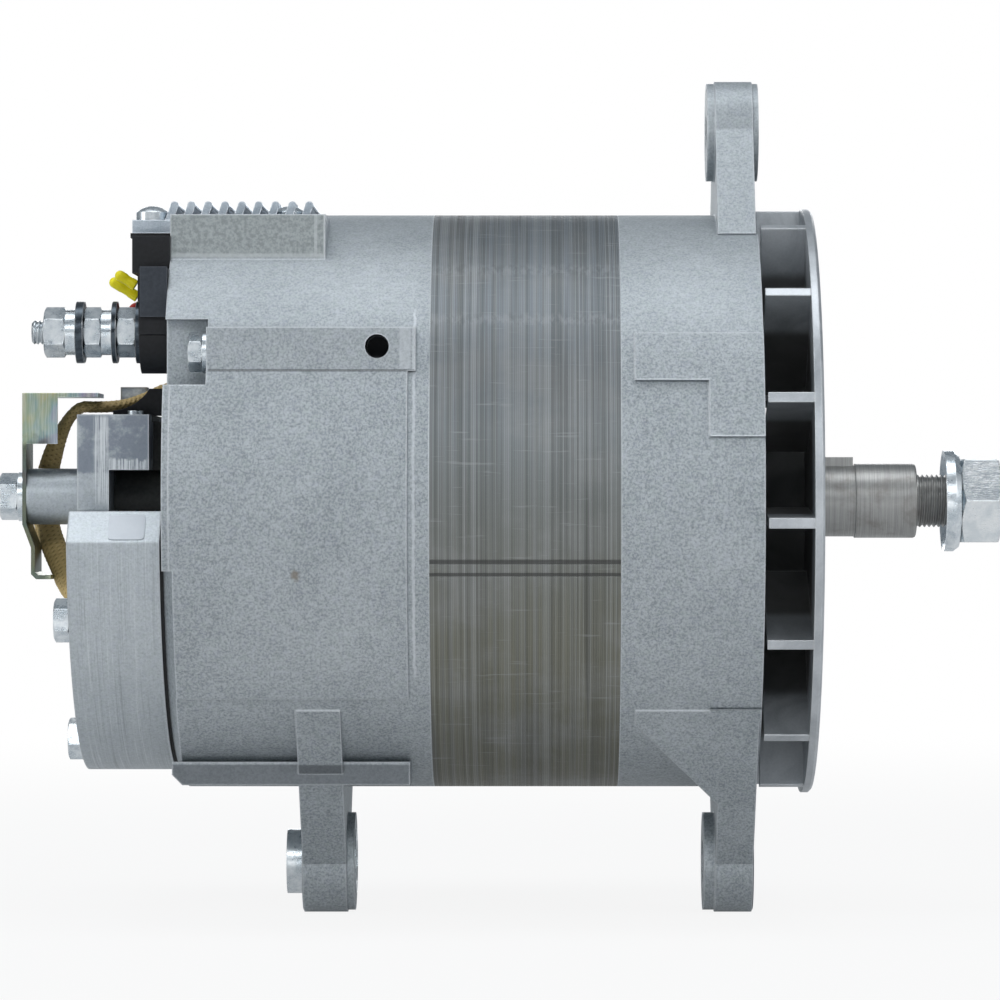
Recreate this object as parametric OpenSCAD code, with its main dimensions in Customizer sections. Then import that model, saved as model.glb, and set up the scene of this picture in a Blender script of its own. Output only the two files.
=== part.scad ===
/* [Housings] */
// Radius of both housings and of the stator core
housing_r = 85.5; // [84:0.5:88]
// Wall of the housings
housing_wall = 7; // [6:0.5:8]
// Length of the front housing
front_len = 40.9; // [40:0.1:44]
// Length of the rear housing
rear_len = 75.9; // [75:0.1:79]
// Thickness of the end webs
web_t = 8; // [8:0.5:9]
// Height of the cast pads over the housing
pad_rise = 1.3; // [0.8:0.1:2]
// How far the through bolts sit outside the housings' inner wall
bolt_inset = 0.5; // [0:0.1:1]
// Radius of the through bolts
through_r = 3; // [2.5:0.1:3.2]

/* [Ears] */
// Height of the adjusting hole over the housing
top_hole_rise = 24.9; // [22.5:0.1:28.5]
// Radius of the adjusting hole
top_hole_r = 5.2; // [4:0.1:6]
// Depth of the hinge holes under the housing
hinge_drop = 22.5; // [20.5:0.1:26.5]
// Radius of the hinge bolt holes
hinge_hole_r = 6.45; // [6:0.05:7]
// Radius of the round ear ends
ear_r = 15.2; // [14.5:0.1:17]
// Thickness of the front ears
front_ear_t = 11.2; // [10:0.1:12]
// Thickness of the rear ear
rear_ear_t = 13; // [12:0.1:14]
// Gap from the front hinge ear to the rear hinge ear
hinge_span = 103.9; // [100:0.1:106]
// Height of the round bosses over the ear faces
ear_boss_rise = 2.3; // [1:0.1:3]
// Height of the front hinge boss over the ear's inner face
hinge_boss_rise = 3.4; // [1:0.1:4]
// Outer radius of the sliding bushing
bushing_r = 9.65; // [9:0.05:10.5]
// Length of the sliding bushing
bushing_len = 20.7; // [20:0.1:24]

/* [Stator and rotor] */
// Length of the stator core
stator_len = 54.4; // [50:0.1:56]
// Thickness of the iron behind the winding slots
back_iron = 14; // [13.5:0.1:15]
// Depth of a winding slot
slot_depth = 13.5; // [12.5:0.1:14]
// Number of winding slots
slots = 36; // [24:12:36]
// Width of a winding slot
slot_w = 5; // [4:0.1:5.2]
// Length of the winding heads outside the core
head_len = 12.5; // [10:0.1:13]
// Air gap between rotor and stator
air_gap = 0.6; // [0.5:0.1:1]
// Claws on each pole piece
claws = 7; // [6:1:8]
// Thickness of a pole piece disc
pole_t = 12; // [11:0.1:13]
// Width of a claw at its root
claw_root_w = 28; // [24:0.5:30]
// Width of a claw at its tip
claw_tip_w = 9; // [6:0.5:12]
// Gap from the field coil to the claws
coil_gap = 3.4; // [2.9:0.1:5.4]

/* [Bearings] */
// Outer radius of the front bearing
front_bearing_r = 31; // [30:0.1:32]
// Width of the front bearing
front_bearing_w = 17; // [16:0.1:18]
// Bore radius of the front bearing
front_bearing_bore = 12.5; // [12:0.1:13]
// Ball radius of the front bearing
ball_r = 5.6; // [5:0.1:5.8]
// Number of balls
balls = 8; // [7:1:9]
// Outer radius of the rear bearing
rear_bearing_r = 20; // [19:0.1:21]
// Width of the rear bearing
rear_bearing_w = 12; // [12:0.1:12.5]
// Bore radius of the rear bearing
rear_bearing_bore = 8.5; // [8.2:0.1:8.8]
// Roller radius of the rear bearing
roller_r = 2.8; // [2.4:0.1:3]
// Number of rollers
rollers = 12; // [10:1:13]
// Gap between rolling parts and their races
roll_gap = 0.05; // [0.03:0.01:0.08]

/* [Shaft end] */
// Radius of the pulley seat
seat_r = 11.1; // [10.5:0.05:12]
// Length of the pulley seat in front of the fan
seat_len = 31.8; // [30:0.1:34]
// How much smaller the keyed stretch of the seat is turned
key_relief = 0.4; // [0.3:0.1:0.6]
// Step up from the pulley seat to the seat of the fan
fan_seat_step = 0.5; // [0.3:0.1:0.8]
// Radius of the threaded end
thread_r = 7.94; // [7.5:0.01:8.2]
// Length of the threaded end
thread_len = 25.5; // [24:0.1:28]
// Length of the key in front of the fan
key_len = 13; // [10:0.1:16]
// Width of the key
key_w = 5; // [4:0.1:6]
// Height of the key over the seat
key_rise = 2; // [1.5:0.1:2.4]
// Width across flats of the shaft nut
nut_flats = 24.8; // [24:0.1:27]
// Height of the shaft nut
nut_h = 11.6; // [10:0.1:12]
// Radius of the shaft washer
washer_r = 15.15; // [14:0.05:17]
// Thickness of the shaft washer
washer_t = 2.9; // [2:0.1:3.5]
// Dish of the shaft washer
washer_dish = 2; // [1:0.1:2.5]

/* [Fan] */
// Radius of the fan
fan_r = 87.3; // [84:0.1:92]
// Thickness of the fan plate
fan_plate_t = 2.8; // [2:0.1:4]
// Depth of the fan with its blades
fan_depth = 15.9; // [15:0.1:18]
// How far the blade tips stay inside the rim
blade_inset = 0.4; // [0.2:0.1:1.5]
// Number of blades
blades = 15; // [9:1:18]
// Thickness of a blade
blade_t = 3; // [2:0.1:4]
// Inner radius of the blades
blade_in_r = 46; // [42:0.5:60]
// Radius of the fan hub
fan_hub_r = 30; // [24:0.5:34]
// Gap between the blades and the front housing
fan_gap = 0.9; // [0.6:0.1:3]
// Turn of the first blade from the side, in degrees
blade_turn = 4.2; // [-12:0.1:12]

/* [Rear cover] */
// Step from the housing down to the cover
cover_step = 5.1; // [3.5:0.1:6.5]
// Length of the cover
cover_len = 26.5; // [26.5:0.1:29]
// Wall of the cover
cover_wall = 6; // [5:0.1:7]
// Thickness of the cover's rear face
cover_face_t = 3.5; // [3:0.1:5]
// Depth of the flat top below the shaft axis
cover_top = 3; // [2:0.1:4]
// Size of the sloping facets beside the flat top
cover_facet = 9.2; // [8:0.1:10]
// Thickness of the gasket
gasket_t = 0.9; // [0.5:0.1:1.2]
// Width of the brush tower across the shaft
tower_w = 52; // [48:0.5:60]
// Height of the tower top over the shaft axis
tower_top = 25.5; // [25:0.1:26.5]
// Height of the tower arch over the shaft axis
tower_arch = 9.1; // [8.9:0.1:9.6]
// Radius of the screw boss behind the tower
boss_r = 8.4; // [7:0.1:9]

/* [Brush gear] */
// Radius of the slip rings
slip_r = 8; // [7.5:0.1:8.2]
// Width of a slip ring
slip_w = 4.8; // [4:0.1:5]
// Distance between the slip rings
slip_pitch = 6; // [5.8:0.1:6.4]
// Width of a brush along the shaft
brush_w = 4.2; // [3.6:0.1:4.4]
// Width of a brush across the shaft
brush_d = 8; // [6:0.1:9]
// Length of a new brush
brush_len = 9; // [8:0.1:9.4]
// Clearance of a brush in its slot
brush_gap = 0.15; // [0.1:0.01:0.2]

/* [Rectifier and terminals] */
// Height of the fins over the heat sink plate
fin_h = 5.5; // [4.8:0.1:7.3]
// Distance between the fins
fin_pitch = 4.93; // [4.5:0.01:5]
// Number of fins
fins = 9; // [6:1:9]
// Thickness of a fin
fin_t = 2.4; // [2:0.1:3]
// Thickness of the heat sink plate
sink_t = 3.9; // [3:0.1:4.4]
// Thickness of the insulating sheet
sheet_t = 1.4; // [1:0.1:1.6]
// Half width of the heat sink
sink_half_w = 37; // [34:0.5:38]
// Radius of a diode
diode_r = 6.4; // [5.5:0.1:6.6]
// Thickness of the terminal block
block_t = 11; // [10.5:0.1:12]
// Radius of the output stud
stud_r = 3.9; // [3.8:0.05:4.2]
// Radius of the plain tip of the output stud
stud_tip_r = 3.5; // [3:0.05:3.7]
// Distance of the output stud from the middle plane
stud_y = 45; // [44:0.5:46]
// Distance of the output stud below the insulating sheet
stud_drop = 27.9; // [27:0.1:29]
// Width across flats of the stud nuts
stud_nut_flats = 12.7; // [12:0.1:13.5]
// Radius of the stud flat washers
stud_washer_r = 9; // [8:0.1:10]

/* [Bracket and braided lead] */
// Thickness of the bracket sheet
bracket_t = 1.2; // [1:0.1:1.6]
// Width of the bracket
bracket_w = 20; // [17:0.5:22]
// Radius of the braided sleeve
sleeve_r = 2.4; // [2:0.1:2.5]
// Radius of the bracket bolt
bracket_bolt_r = 3; // [2.5:0.1:3.4]

/* [Hidden] */
$fn = 72;
// How far a cut runs past the solid that it opens
over = 1;
// Clearance between pieces that are assembled by hand
fit = 0.05;
// Clearance between pieces that are pressed or screwed together
press = 0.01;
// Seat clearance between loose pieces
seat = 0.2;

// Stations along the shaft, from the front face of the fan
front_x1 = -(fan_depth + fan_gap);
front_x0 = front_x1 - front_len;
stator_x0 = front_x0 - stator_len;
rear_x0 = stator_x0 - rear_len;
cover_x1 = rear_x0 - gasket_t;
cover_x0 = cover_x1 - cover_len;
housing_in = housing_r - housing_wall;
cover_r = housing_r - cover_step;

// Through bolts, with their pockets in the front web and their bosses in the rear housing
through_pcd_r = housing_in - bolt_inset;
bolt_boss_r = 6.5;
boss_relief = 0.4;
bolt_pocket = 5.5;
bolt_pocket_r = through_r * 1.9;
bolt_head_flats = through_r * 3.2;
bolt_head_h = 4.4;
bolt_head_gap = 0.1;
bolt_grip = 18;
bolt_hole = 20;
bolt_boss_len = 24;

// Pads and windows of the front housing
front_pad_z1 = 48;
front_pad_z0 = 34.4;
front_foot_z0 = 18.3;
front_pad_inset = 4;
low_pad_w = 15;
low_pad_z1 = -60;
low_pad_z0 = -72;
low_pad_rise = 0.5;
web_hole_gap = 9;
front_windows = 6;
front_window_turn = 40;
front_window_w = 24;
front_window_gap = 4;

// Ears, as places of their faces
top_hole_z = housing_r + top_hole_rise;
hinge_z = housing_r + hinge_drop;
front_ear_gap = 0.6;
front_ear_x1 = front_x1 - front_ear_gap;
front_ear_x0 = front_ear_x1 - front_ear_t;
rear_ear_x1 = front_ear_x0 - hinge_boss_rise - hinge_span - ear_boss_rise;
rear_ear_x0 = rear_ear_x1 - rear_ear_t;
bushing_stand = 0.3;
bushing_x1 = rear_ear_x1 + ear_boss_rise + bushing_stand;
bushing_x0 = bushing_x1 - bushing_len;
bushing_gap = 0.03;
ear_relief = 0.6;
ear_reach = 9;
ear_foot_step = 10;
top_flare_y = 35.5;
top_flare_z = housing_r - 7.2;
hinge_flare_y = 61;
hinge_flare_z = housing_r - 25;
gusset_x0 = front_ear_x0 - 24.6;
gusset_z0 = housing_r - 20.8;
gusset_z1 = housing_r + 3.6;

// Bearings, with the front one against the web and the rear one in the rear hub
hub_wall = 8;
hub_r = front_bearing_r + hub_wall;
fb_x1 = front_x1 - web_t;
fb_x0 = fb_x1 - front_bearing_w;
fb_pitch_r = (front_bearing_r + front_bearing_bore) / 2;
race_t = 4.4;
fb_inner_r = front_bearing_bore + race_t;
fb_outer_r = front_bearing_r - race_t;
rear_bearing_stand = 1.5;
rb_x0 = rear_x0 + rear_bearing_stand;
rb_x1 = rb_x0 + rear_bearing_w;
rb_pitch_r = (rear_bearing_r + rear_bearing_bore) / 2;
rb_inner_r = rb_pitch_r - roller_r - roll_gap;
rb_outer_r = rb_pitch_r + roller_r + roll_gap;
cage_t = 1.2;
roller_end = 2;
roller_cage_end = 0.8;
roller_cage_half_t = 0.9;
rear_hub_wall = 7;
rear_hub_len = 17;
shaft_hole_gap = 3.5;
shaft_hole_len = 28;

// Retainer plate behind the front bearing and its four screws
retainer_t = 3;
retainer_inset = 0.5;
retainer_r = hub_r - retainer_inset;
retainer_screw_r = front_bearing_r + hub_wall / 2;
retainer_shank_r = 1.48;
retainer_thread_r = 1.5;
retainer_hole_r = 1.6;
retainer_hole = 8;
retainer_shank = 10;
retainer_head_r = 2.9;
retainer_head_h = 2.2;

// Stator and winding
slot_r = housing_r - back_iron;
stator_bore_r = slot_r - slot_depth;
wire_inset = 2;
wire_gap = 0.3;

// Rotor stations
rotor_inset = 2.5;
rotor_r = stator_bore_r - air_gap;
rotor_x1 = front_x0 - rotor_inset;
rotor_x0 = stator_x0 + rotor_inset;
core_share = 0.383;
core_r = rotor_r * core_share;
pole_seat_r = 13;
claw_share = 0.209;
claw_t = rotor_r * claw_share;
claw_step = 0.4;
claw_end_gap = 6;
coil_r = rotor_r - claw_t - coil_gap;
spool_t = 1.5;
spool_lip = 1;

// Shaft
shaft_x1 = seat_len + thread_len;
fan_seat_r = seat_r + fan_seat_step;
tail_r = 4.5;
tail_gap = 0.5;
shoulder = 1.6;
pole_collar = 3;
seat_bevel = 0.8;
thread_bevel = 1.2;
slip_inset = 9.1;
slip_x_b = cover_x1 - slip_inset;
slip_x_a = slip_x_b - slip_pitch;
slip_hub_r = 6;
slip_end = 0.8;
shaft_x0 = slip_x_a - slip_w / 2 - slip_end;
nut_reach = 13.3;
washer_x1 = seat_len + nut_reach;

// Fan hub and its edges
fan_edge = 0.8;
hub_cone_w = 4;
hub_cone_h = 2;
hub_rim_w = 6;
spacer_wall = 5.5;

// Cover, with its gasket and bolts
cover_flat = 0.6;
cover_roof = 4;
cover_shaft_gap = 2.5;
cover_bolt_inset = 7.3;
cover_bolt_r = 2.98;
cover_bolt_hole_r = 3.1;
cover_thread_r = 3;
cover_thread = 7;
cover_bolt_spare = 0.5;
cover_bolt_boss_r = 6.6;
cover_head_flats = 11;
cover_head_h = 4.6;
cover_bolt_turns = [-62, -15.8, 15.8, 62];

// Rear tower over the slip rings
tower_step = 1.8;
tower_x0 = cover_x0 - tower_step;
tower_x1 = slip_x_b + 2;
leg_x1 = slip_x_a - slip_w / 2 - 1.4;
leg_gap = 5;
holder_w = 18;
holder_x0 = slip_x_a - brush_w / 2 - 1.9;
holder_x1 = slip_x_b + brush_w / 2 + 2.9;
holder_neck_r = 7;
holder_neck_drop = 9.5;
cap_t = 2;
cap_w = 30;
brush_ring_gap = 0.3;
brush_z0 = slip_r + brush_ring_gap;
brush_skirt = 2.4;
shroud_gap = 0.5;
shroud_r = slip_r + 2.2;
spring_wire_r = 0.35;
spring_r = 1.5;
spring_turns = 4;
spring_steps = 14;
cap_screw_x = slip_x_b - 3;
cap_screw_y = cap_w / 2 - 3;
cap_screw_r = 1.18;
cap_thread_r = 1.2;
cap_hole_r = 1.3;
cap_screw_len = 7.5;
cap_hole = 8;
cap_head_r = 2.4;
cap_head_h = 1.3;

// Heat sink on the flat top of the rear housing
sink_sunk = 3.3;
sink_z1 = housing_r - sink_sunk;
sink_z0 = sink_z1 - sink_t;
sheet_z0 = sink_z0 - sheet_t;
sink_back = 12;
sink_pad_len = 45;
sink_pad_lip = 3.3;
sink_x0 = rear_x0 - sink_back;
sink_pad_x1 = rear_x0 + sink_pad_len;
sink_x1 = sink_pad_x1 - sink_pad_lip;
sink_pad_w = 98;
sink_pad_drop = 25;
sink_pad_sunk = 2.3;
sink_rib_w = 6;
sink_rib_h = 8;
sink_gap = 1.5;
sheet_lip = 0.5;
fin_start = 2.5;
fin_x0 = rear_x0 - fin_start;
fin_lean = 1.6;
fin_inset = 1;
diode_room_w = 56;
diode_inset = 16.2;
diode_x = rear_x0 + diode_inset;
diode_step_x = 15;
diode_step_y = 18;
diode_up = 2.9;
diode_down = 5;
diode_pin_r = 1;
diode_pin = 7;
sheet_hole_gap = 0.4;
sink_screw_back = 5.5;
sink_screw_end = 8;
sink_screw_x0 = sink_x0 + sink_screw_back;
sink_screw_x1 = sink_x1 - sink_screw_end;
sink_screw_y = 30.5;
sink_screw_r = 2;
sink_hole_r = 2.2;
sink_thread = 4;
sink_thread_hole = 5;
sink_head_r = 4.8;
sink_head_h = 2.4;
sink_dome_r = 7;
sink_dome_drop = 5;
sink_head_gap = 0.4;
diode_places = [
    for (i = [0, 1]) for (j = [-1, 0, 1]) [diode_x + i * diode_step_x, j * diode_step_y]
];
sink_screw_places = [
    for (x = [sink_screw_x0, sink_screw_x1]) for (j = [-1, 1]) [x, j * sink_screw_y]
];

// Terminal block under the sink's rear edge, with the stations of its output stud
stud_z = sheet_z0 - stud_drop;
block_x0 = rear_x0 - block_t;
block_drop = 10.9;
block_y0 = -50;
block_y1 = 44;
cheek_y0 = -58;
cheek_y1 = -30;
cheek_drop = 9.9;
cheek_z1 = sheet_z0 - cheek_drop;
cheek_z0 = stud_z - 1;
web_y1 = -8;
web_z0 = stud_z + 3;
panel_y0 = cheek_y0 - 2;
panel_z0 = stud_z + 4;
panel_z1 = cheek_z1 + 0.5;
panel_inset = 0.5;
stud_step = 2.5;
stud_face_x = block_x0 + stud_step;
block_boss_r = 12;
washer3_t = 1.5;
nut3_h = 5.5;
washer2_t = 1.4;
lock_t = 3.1;
nut2_h = 5.1;
washer1_t = 2.3;
nut1_h = 6.2;
stud_tip = 3.7;
stud_bevel = 0.6;
lock_r = 6.6;
lock_split = 1.2;
lock_turn = 25;
nut3_x = stud_face_x - washer3_t - nut3_h;
nut2_x = nut3_x - washer2_t - lock_t - nut2_h;
nut1_x = nut2_x - washer1_t - lock_t - nut1_h;
stud_x0 = nut1_x - stud_tip;

// Push-on terminals on the block, each with its y, its height and its length
yellow_r = 1.6;
yellow_bevel = 0.7;
yellow_slant = 32;
yellow_places = [
    [-24, sheet_z0 - 14, 8.2],
    [-17, sheet_z0 - 17.1, 10.9]
];

// Side pads and the recess with the small bolt on the near side
side_pad_x0 = rear_x0 + 12.3;
side_pad_x1 = stator_x0 - 4;
side_pad_z0 = 37;
side_pad_z1 = 49.5;
side_pad_y = -(housing_r - 7.5);
side_pad_root = 28;
side_hole_x = stator_x0 - 15;
side_hole_z = 44;
side_hole_r = 3.4;
side_hole_len = 11;
side_bolt_y = -(housing_r - 17);
side_bolt_z = 42.5;
side_bolt_r = 3;
side_bolt_gap = 0.02;
side_bolt_grip = 12;
side_bolt_hole = 13;
side_head_flats = 10;
side_head_h = 4.1;
side_shank = 2;
side_washer_r = 6;
side_washer_t = 1.4;
recess_half_h = 9.5;
recess_floor = 6.4;
recess_wall = 1.5;
recess_root = 13.5;
recess_len = 23.5;
skin_inset = 6.3;
skin_start = 2;
skin_rise = 0.8;
skin_z0 = -57;

// Foot along the bottom of the rear housing, and the cut above it
ledge_y = 42.5;
ledge_z1 = -(housing_r - 9.4);
ledge_z0 = -(housing_r - 2.6);
ledge_cut = 3;
ledge_end = 6.5;
edge_cut_depth = 6;
edge_cut_len = 2.7;
edge_cut_z = -20;

// Windows of the rear web, each as its first angle
rear_window_starts = [35, 115, 165, 225, 290];
rear_window_turn = 34;
rear_window_w = 20;
rear_window_gap = 15;

// Bracket on the cover's screw boss, with its bolt and washer
bracket_stand = 16.8;
bracket_x1 = tower_x0 - bracket_stand;
bracket_x0 = bracket_x1 - bracket_t;
bracket_y0 = -8;
bracket_z1 = tower_top + 6.7;
bracket_z0 = -23.4;
bracket_flange = 4.6;
bracket_slant = 2.6;
slant_z1 = -7;
slant_z0 = -14;
foot_x = 8.6;
foot_bend = 1.5;
side_plate_z = tower_top - 8.5;
side_plate_x = 9.3;
boss_z = 1.3;
boss_thread = 17;
bracket_grip = 15;
bracket_head_flats = 12.2;
bracket_head_h = 5.6;
bolt_washer_t = 1.7;
bolt_washer_r = 7.4;

// Far lug of the tower and the rubber boot of the brush leads
lug_x0 = tower_x1 - 12;
lug_t = 8;
lug_h = 9;
boot_x0 = tower_x0 + 9;
boot_h = 8;
boot_y0 = -7;
boot_y1 = 3;
boot_hollow_r = 14;
boot_hollow_x = boot_x0 - 1;
boot_hollow_rise = 7.4;

// Blank label on the near sloping facet of the cover
label_x0 = cover_x0 + 11.7;
label_len = 10.5;
label_w = 10;
label_t = 0.3;
label_gap = 0.02;

// Regulator on the far side of the rear wall, with its cooling ribs and screws
regulator_inset = 17.5;
regulator_w = 30;
regulator_y1 = housing_r - regulator_inset;
regulator_y0 = regulator_y1 - regulator_w;
regulator_z0 = 1 - cover_top;
regulator_z1 = tower_top - 1;
regulator_t = 22;
regulator_ribs = 6;
rib_step = 5;
rib_w = 2;
rib_y0 = regulator_y0 + rib_w;
rib_h = 3;
rib_inset = 3;
regulator_y = (regulator_y0 + regulator_y1) / 2;
regulator_screw_r = 2;
regulator_hole_gap = 0.05;
regulator_head_r = 4;
regulator_head_h = 2.7;
regulator_thread = 7;
regulator_grip = 5.8;
regulator_head_gap = 0.1;
regulator_screw_inset = 5;
regulator_screw_z = [regulator_z0 + regulator_screw_inset, regulator_z1 - regulator_screw_inset];

// Route of the braided sleeve, from the rear wall over the tower and down to the cover.
// Each point is its distance behind the wall, its y, and its height over the tower top.
sleeve_points = [
    [0.05, 16, 8.5], [4, 16, 8.5], [7, 16, 8.1], [12, 13.5, 5.6], [17, 9.5, 3.7],
    [22, 6.8, 2.9], [27, 6.2, 2.75], [31, 6.4, 2.5], [34.7, 7.6, -0.8], [38.1, 9.8, -7],
    [40.7, 12, -14], [42.3, 13.8, -21], [42.6, 14.4, -28], [41.5, 13.4, -34.5],
    [39.1, 10, -40.3], [36.6, 5, -45.1], [34.5, -0.5, -49.3], [32.7, -5, -52.3]
];
sleeve_end_y = -7;
sleeve_end_z = -28;
sleeve_route = [
    for (p = sleeve_points) [rear_x0 - p[0], p[1], tower_top + p[2]],
    for (d = [3.2, 1.6, fit]) [cover_x0 - d, sleeve_end_y, sleeve_end_z]
];

// Route of the red wire from the block down to the rear wall.
// Each point is its distance behind the wall, its y, and its height over the stud.
red_points = [
    [block_t + 0.3, -12.5, 9], [block_t + 2.2, -12.5, 8.8], [block_t + 3.5, -12.6, 7],
    [block_t + 3.6, -13, 3], [block_t + 2.5, -14.5, -1.5], [block_t - 1, -17, -4.5],
    [4.5, -19, -6.2], [0.3, -20, -7]
];
red_route = [for (p = red_points) [rear_x0 - p[0], p[1], stud_z + p[2]]];
red_r = 1.1;

// Round bar along the shaft
module bar_x(x, r, len) {
    translate([x, 0, 0]) rotate([0, 90, 0]) cylinder(r = r, h = len);
}

// Tube along the shaft
module ring_x(x, len, ro, ri) {
    difference() {
        bar_x(x, ro, len);
        bar_x(x - over, ri, len + 2 * over);
    }
}

// Flat outline in the plane across the shaft, made len thick along it
module plate_x(x, len) {
    translate([x, 0, 0]) rotate([90, 0, 90]) linear_extrude(height = len) children();
}

// Box between two corners
module block(a, b) {
    translate(a) cube(b - a);
}

// Hexagon along the shaft, with a corner up, or to the side when turned
module hex_x(x, flats, len, turn = 0) {
    translate([x, 0, 0]) rotate([turn, 0, 0]) rotate([0, 90, 0])
        cylinder(r = flats / 2 / cos(30), h = len, $fn = 6);
}

// Copies around the shaft
module around_x(n, start = 0) {
    for (i = [0 : n - 1])
        rotate([start + i * 360 / n, 0, 0]) children();
}

// Hex nut or bolt head with chamfered corners at both ends
module chamfered_hex(x, flats, len, turn = 0) {
    bevel = flats * 0.06;
    intersection() {
        hex_x(x, flats, len, turn);
        translate([x, 0, 0]) rotate([0, 90, 0]) rotate_extrude()
            polygon([
                [0, 0], [flats / 2, 0], [flats / 2 + 2 * bevel, bevel],
                [flats / 2 + 2 * bevel, len - bevel], [flats / 2, len], [0, len]
            ]);
    }
}

// Curved patch that follows the housing wall, over a range of x and z on one side
module wall_patch(x0, x1, z0, z1, rise) {
    intersection() {
        ring_x(x0, x1 - x0, housing_r + rise, housing_in + over);
        block([x0 - over, -housing_r - 2 * over, z0], [x1 + over, -over, z1]);
    }
}

// Ear outline: a round end on a foot that flares out to the sides of the housing
module ear_outline(z_end, flare_y, flare_z) {
    inside = flare_y - ear_foot_step;
    translate([0, z_end]) circle(r = ear_r);
    polygon([
        [-inside, flare_z - ear_foot_step], [inside, flare_z - ear_foot_step],
        [flare_y, flare_z], [ear_r, z_end], [-ear_r, z_end], [-flare_y, flare_z]
    ]);
}

// Points of a smooth curve through a route
function curve_at(p, i, t) =
    let (a = p[max(i - 1, 0)], b = p[i], c = p[i + 1], d = p[min(i + 2, len(p) - 1)])
    0.5 * (2 * b + (c - a) * t + (2 * a - 5 * b + 4 * c - d) * t * t
        + (3 * b - a - 3 * c + d) * t * t * t);
function smooth(p, k) = concat(
    [for (i = [0 : len(p) - 2]) for (j = [0 : k - 1]) curve_at(p, i, j / k)],
    [p[len(p) - 1]]);
function unit(v) = v / norm(v);

// Closed tube swept along a list of points
module tube_along(path, r, sides) {
    n = len(path);
    points = [
        for (i = [0 : n - 1])
            let (
                t = unit(path[min(i + 1, n - 1)] - path[max(i - 1, 0)]),
                u = unit(cross(t, [0.2, 1, 0.1])),
                v = cross(t, u)
            )
            for (j = [0 : sides - 1])
                let (a = 360 * j / sides)
                path[i] + r * (cos(a) * u + sin(a) * v)
    ];
    side_faces = [
        for (i = [0 : n - 2]) for (j = [0 : sides - 1]) for (half = [0, 1])
            let (k = (j + 1) % sides, a = i * sides, b = (i + 1) * sides)
            half == 0 ? [a + j, b + j, b + k] : [a + j, b + k, a + k]
    ];
    first = [for (j = [0 : sides - 1]) j];
    last = [for (j = [sides - 1 : -1 : 0]) (n - 1) * sides + j];
    polyhedron(points = points, faces = concat(side_faces, [first], [last]));
}

// At each of the four cover bolts
module at_cover_bolts() {
    for (a = cover_bolt_turns)
        rotate([a, 0, 0]) translate([0, 0, -(cover_r - cover_bolt_inset)]) children();
}

// At each of the four through bolts
module at_through_bolts() {
    around_x(4, 45) translate([0, 0, through_pcd_r]) children();
}

// At each of the four retainer screws
module at_retainer_screws() {
    around_x(4, 30) translate([0, 0, retainer_screw_r]) children();
}

// At both screws of the brush cap
module at_cap_screws() {
    for (side = [-1, 1])
        translate([cap_screw_x, side * cap_screw_y, tower_top]) children();
}

// At both screws of the regulator
module at_regulator_screws() {
    for (z = regulator_screw_z)
        translate([0, regulator_y, z]) children();
}

// Bare front casting without its holes
module front_casting() {
    difference() {
        union() {
            bar_x(front_x0, housing_r, front_len);
            wall_patch(front_x0 + front_pad_inset, front_ear_x0 - front_pad_inset,
                front_pad_z0, front_pad_z1, pad_rise);
            wall_patch(front_ear_x0 - front_pad_inset - fit, front_x1,
                front_foot_z0, front_pad_z1, pad_rise);
            wall_patch(front_x1 - low_pad_w, front_x1, low_pad_z0, low_pad_z1, low_pad_rise);
        }
        bar_x(front_x0 - over, housing_in, fb_x0 - front_x0 + over);
        ring_x(front_x0 - over, front_len - web_t + over, housing_in, hub_r);
    }
    at_through_bolts()
        bar_x(front_x0 + boss_relief, bolt_boss_r, front_len - boss_relief - over);
    for (side = [1, -1])
        front_ear(side);
}

// One of the two front ears, side 1 up and side -1 down
module front_ear(side) {
    up = side > 0;
    z = up ? top_hole_z : hinge_z;
    rise_in = up ? ear_boss_rise : hinge_boss_rise;
    rise_out = up ? ear_boss_rise - ear_relief : ear_relief / 2;
    flare_y = up ? top_flare_y : hinge_flare_y;
    flare_z = up ? top_flare_z : hinge_flare_z;
    mirror([0, 0, up ? 0 : 1]) {
        difference() {
            union() {
                plate_x(front_ear_x0, front_ear_t) ear_outline(z, flare_y, flare_z);
                translate([0, 0, z])
                    bar_x(front_ear_x0 - rise_in, ear_r - ear_relief,
                        front_ear_t + rise_in + rise_out);
                if (!up)
                    hinge_gusset();
            }
            bar_x(front_x0 - over, housing_in + over, front_len + 2 * over);
        }
    }
}

// Sloping web that carries the flare of the front hinge ear forward over the housing
module hinge_gusset() {
    intersection() {
        translate([0, hinge_flare_y, 0]) rotate([90, 0, 0])
            linear_extrude(height = 2 * hinge_flare_y)
                polygon([
                    [front_ear_x0 + over, gusset_z0 - ear_foot_step],
                    [gusset_x0, gusset_z0 - ear_foot_step], [gusset_x0, gusset_z0],
                    [front_ear_x0, gusset_z1], [front_ear_x0 + over, gusset_z1]
                ]);
        plate_x(gusset_x0 - over, front_ear_x1 - gusset_x0)
            ear_outline(hinge_z, hinge_flare_y - fit, hinge_flare_z);
    }
}

module front_housing() color("silver") difference() {
    front_casting();
    bar_x(fb_x0 - over, front_bearing_r + press, front_bearing_w + over);
    bar_x(fb_x1 - over, seat_r + web_hole_gap, web_t + 2 * over);
    around_x(front_windows, 15)
        window(fb_x1, hub_r + front_window_gap, front_window_w, front_window_turn);
    at_through_bolts() {
        bar_x(front_x0 - over, through_r + seat, front_len + 2 * over);
        bar_x(front_x1 - bolt_pocket, bolt_pocket_r, bolt_pocket + over);
    }
    translate([0, 0, top_hole_z])
        bar_x(front_ear_x0 - ear_reach, top_hole_r, front_ear_t + 2 * ear_reach);
    translate([0, 0, -hinge_z])
        bar_x(front_ear_x0 - ear_reach, hinge_hole_r, front_ear_t + 2 * ear_reach);
    at_retainer_screws() bar_x(fb_x0 - over, retainer_thread_r, retainer_hole + over);
}

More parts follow.
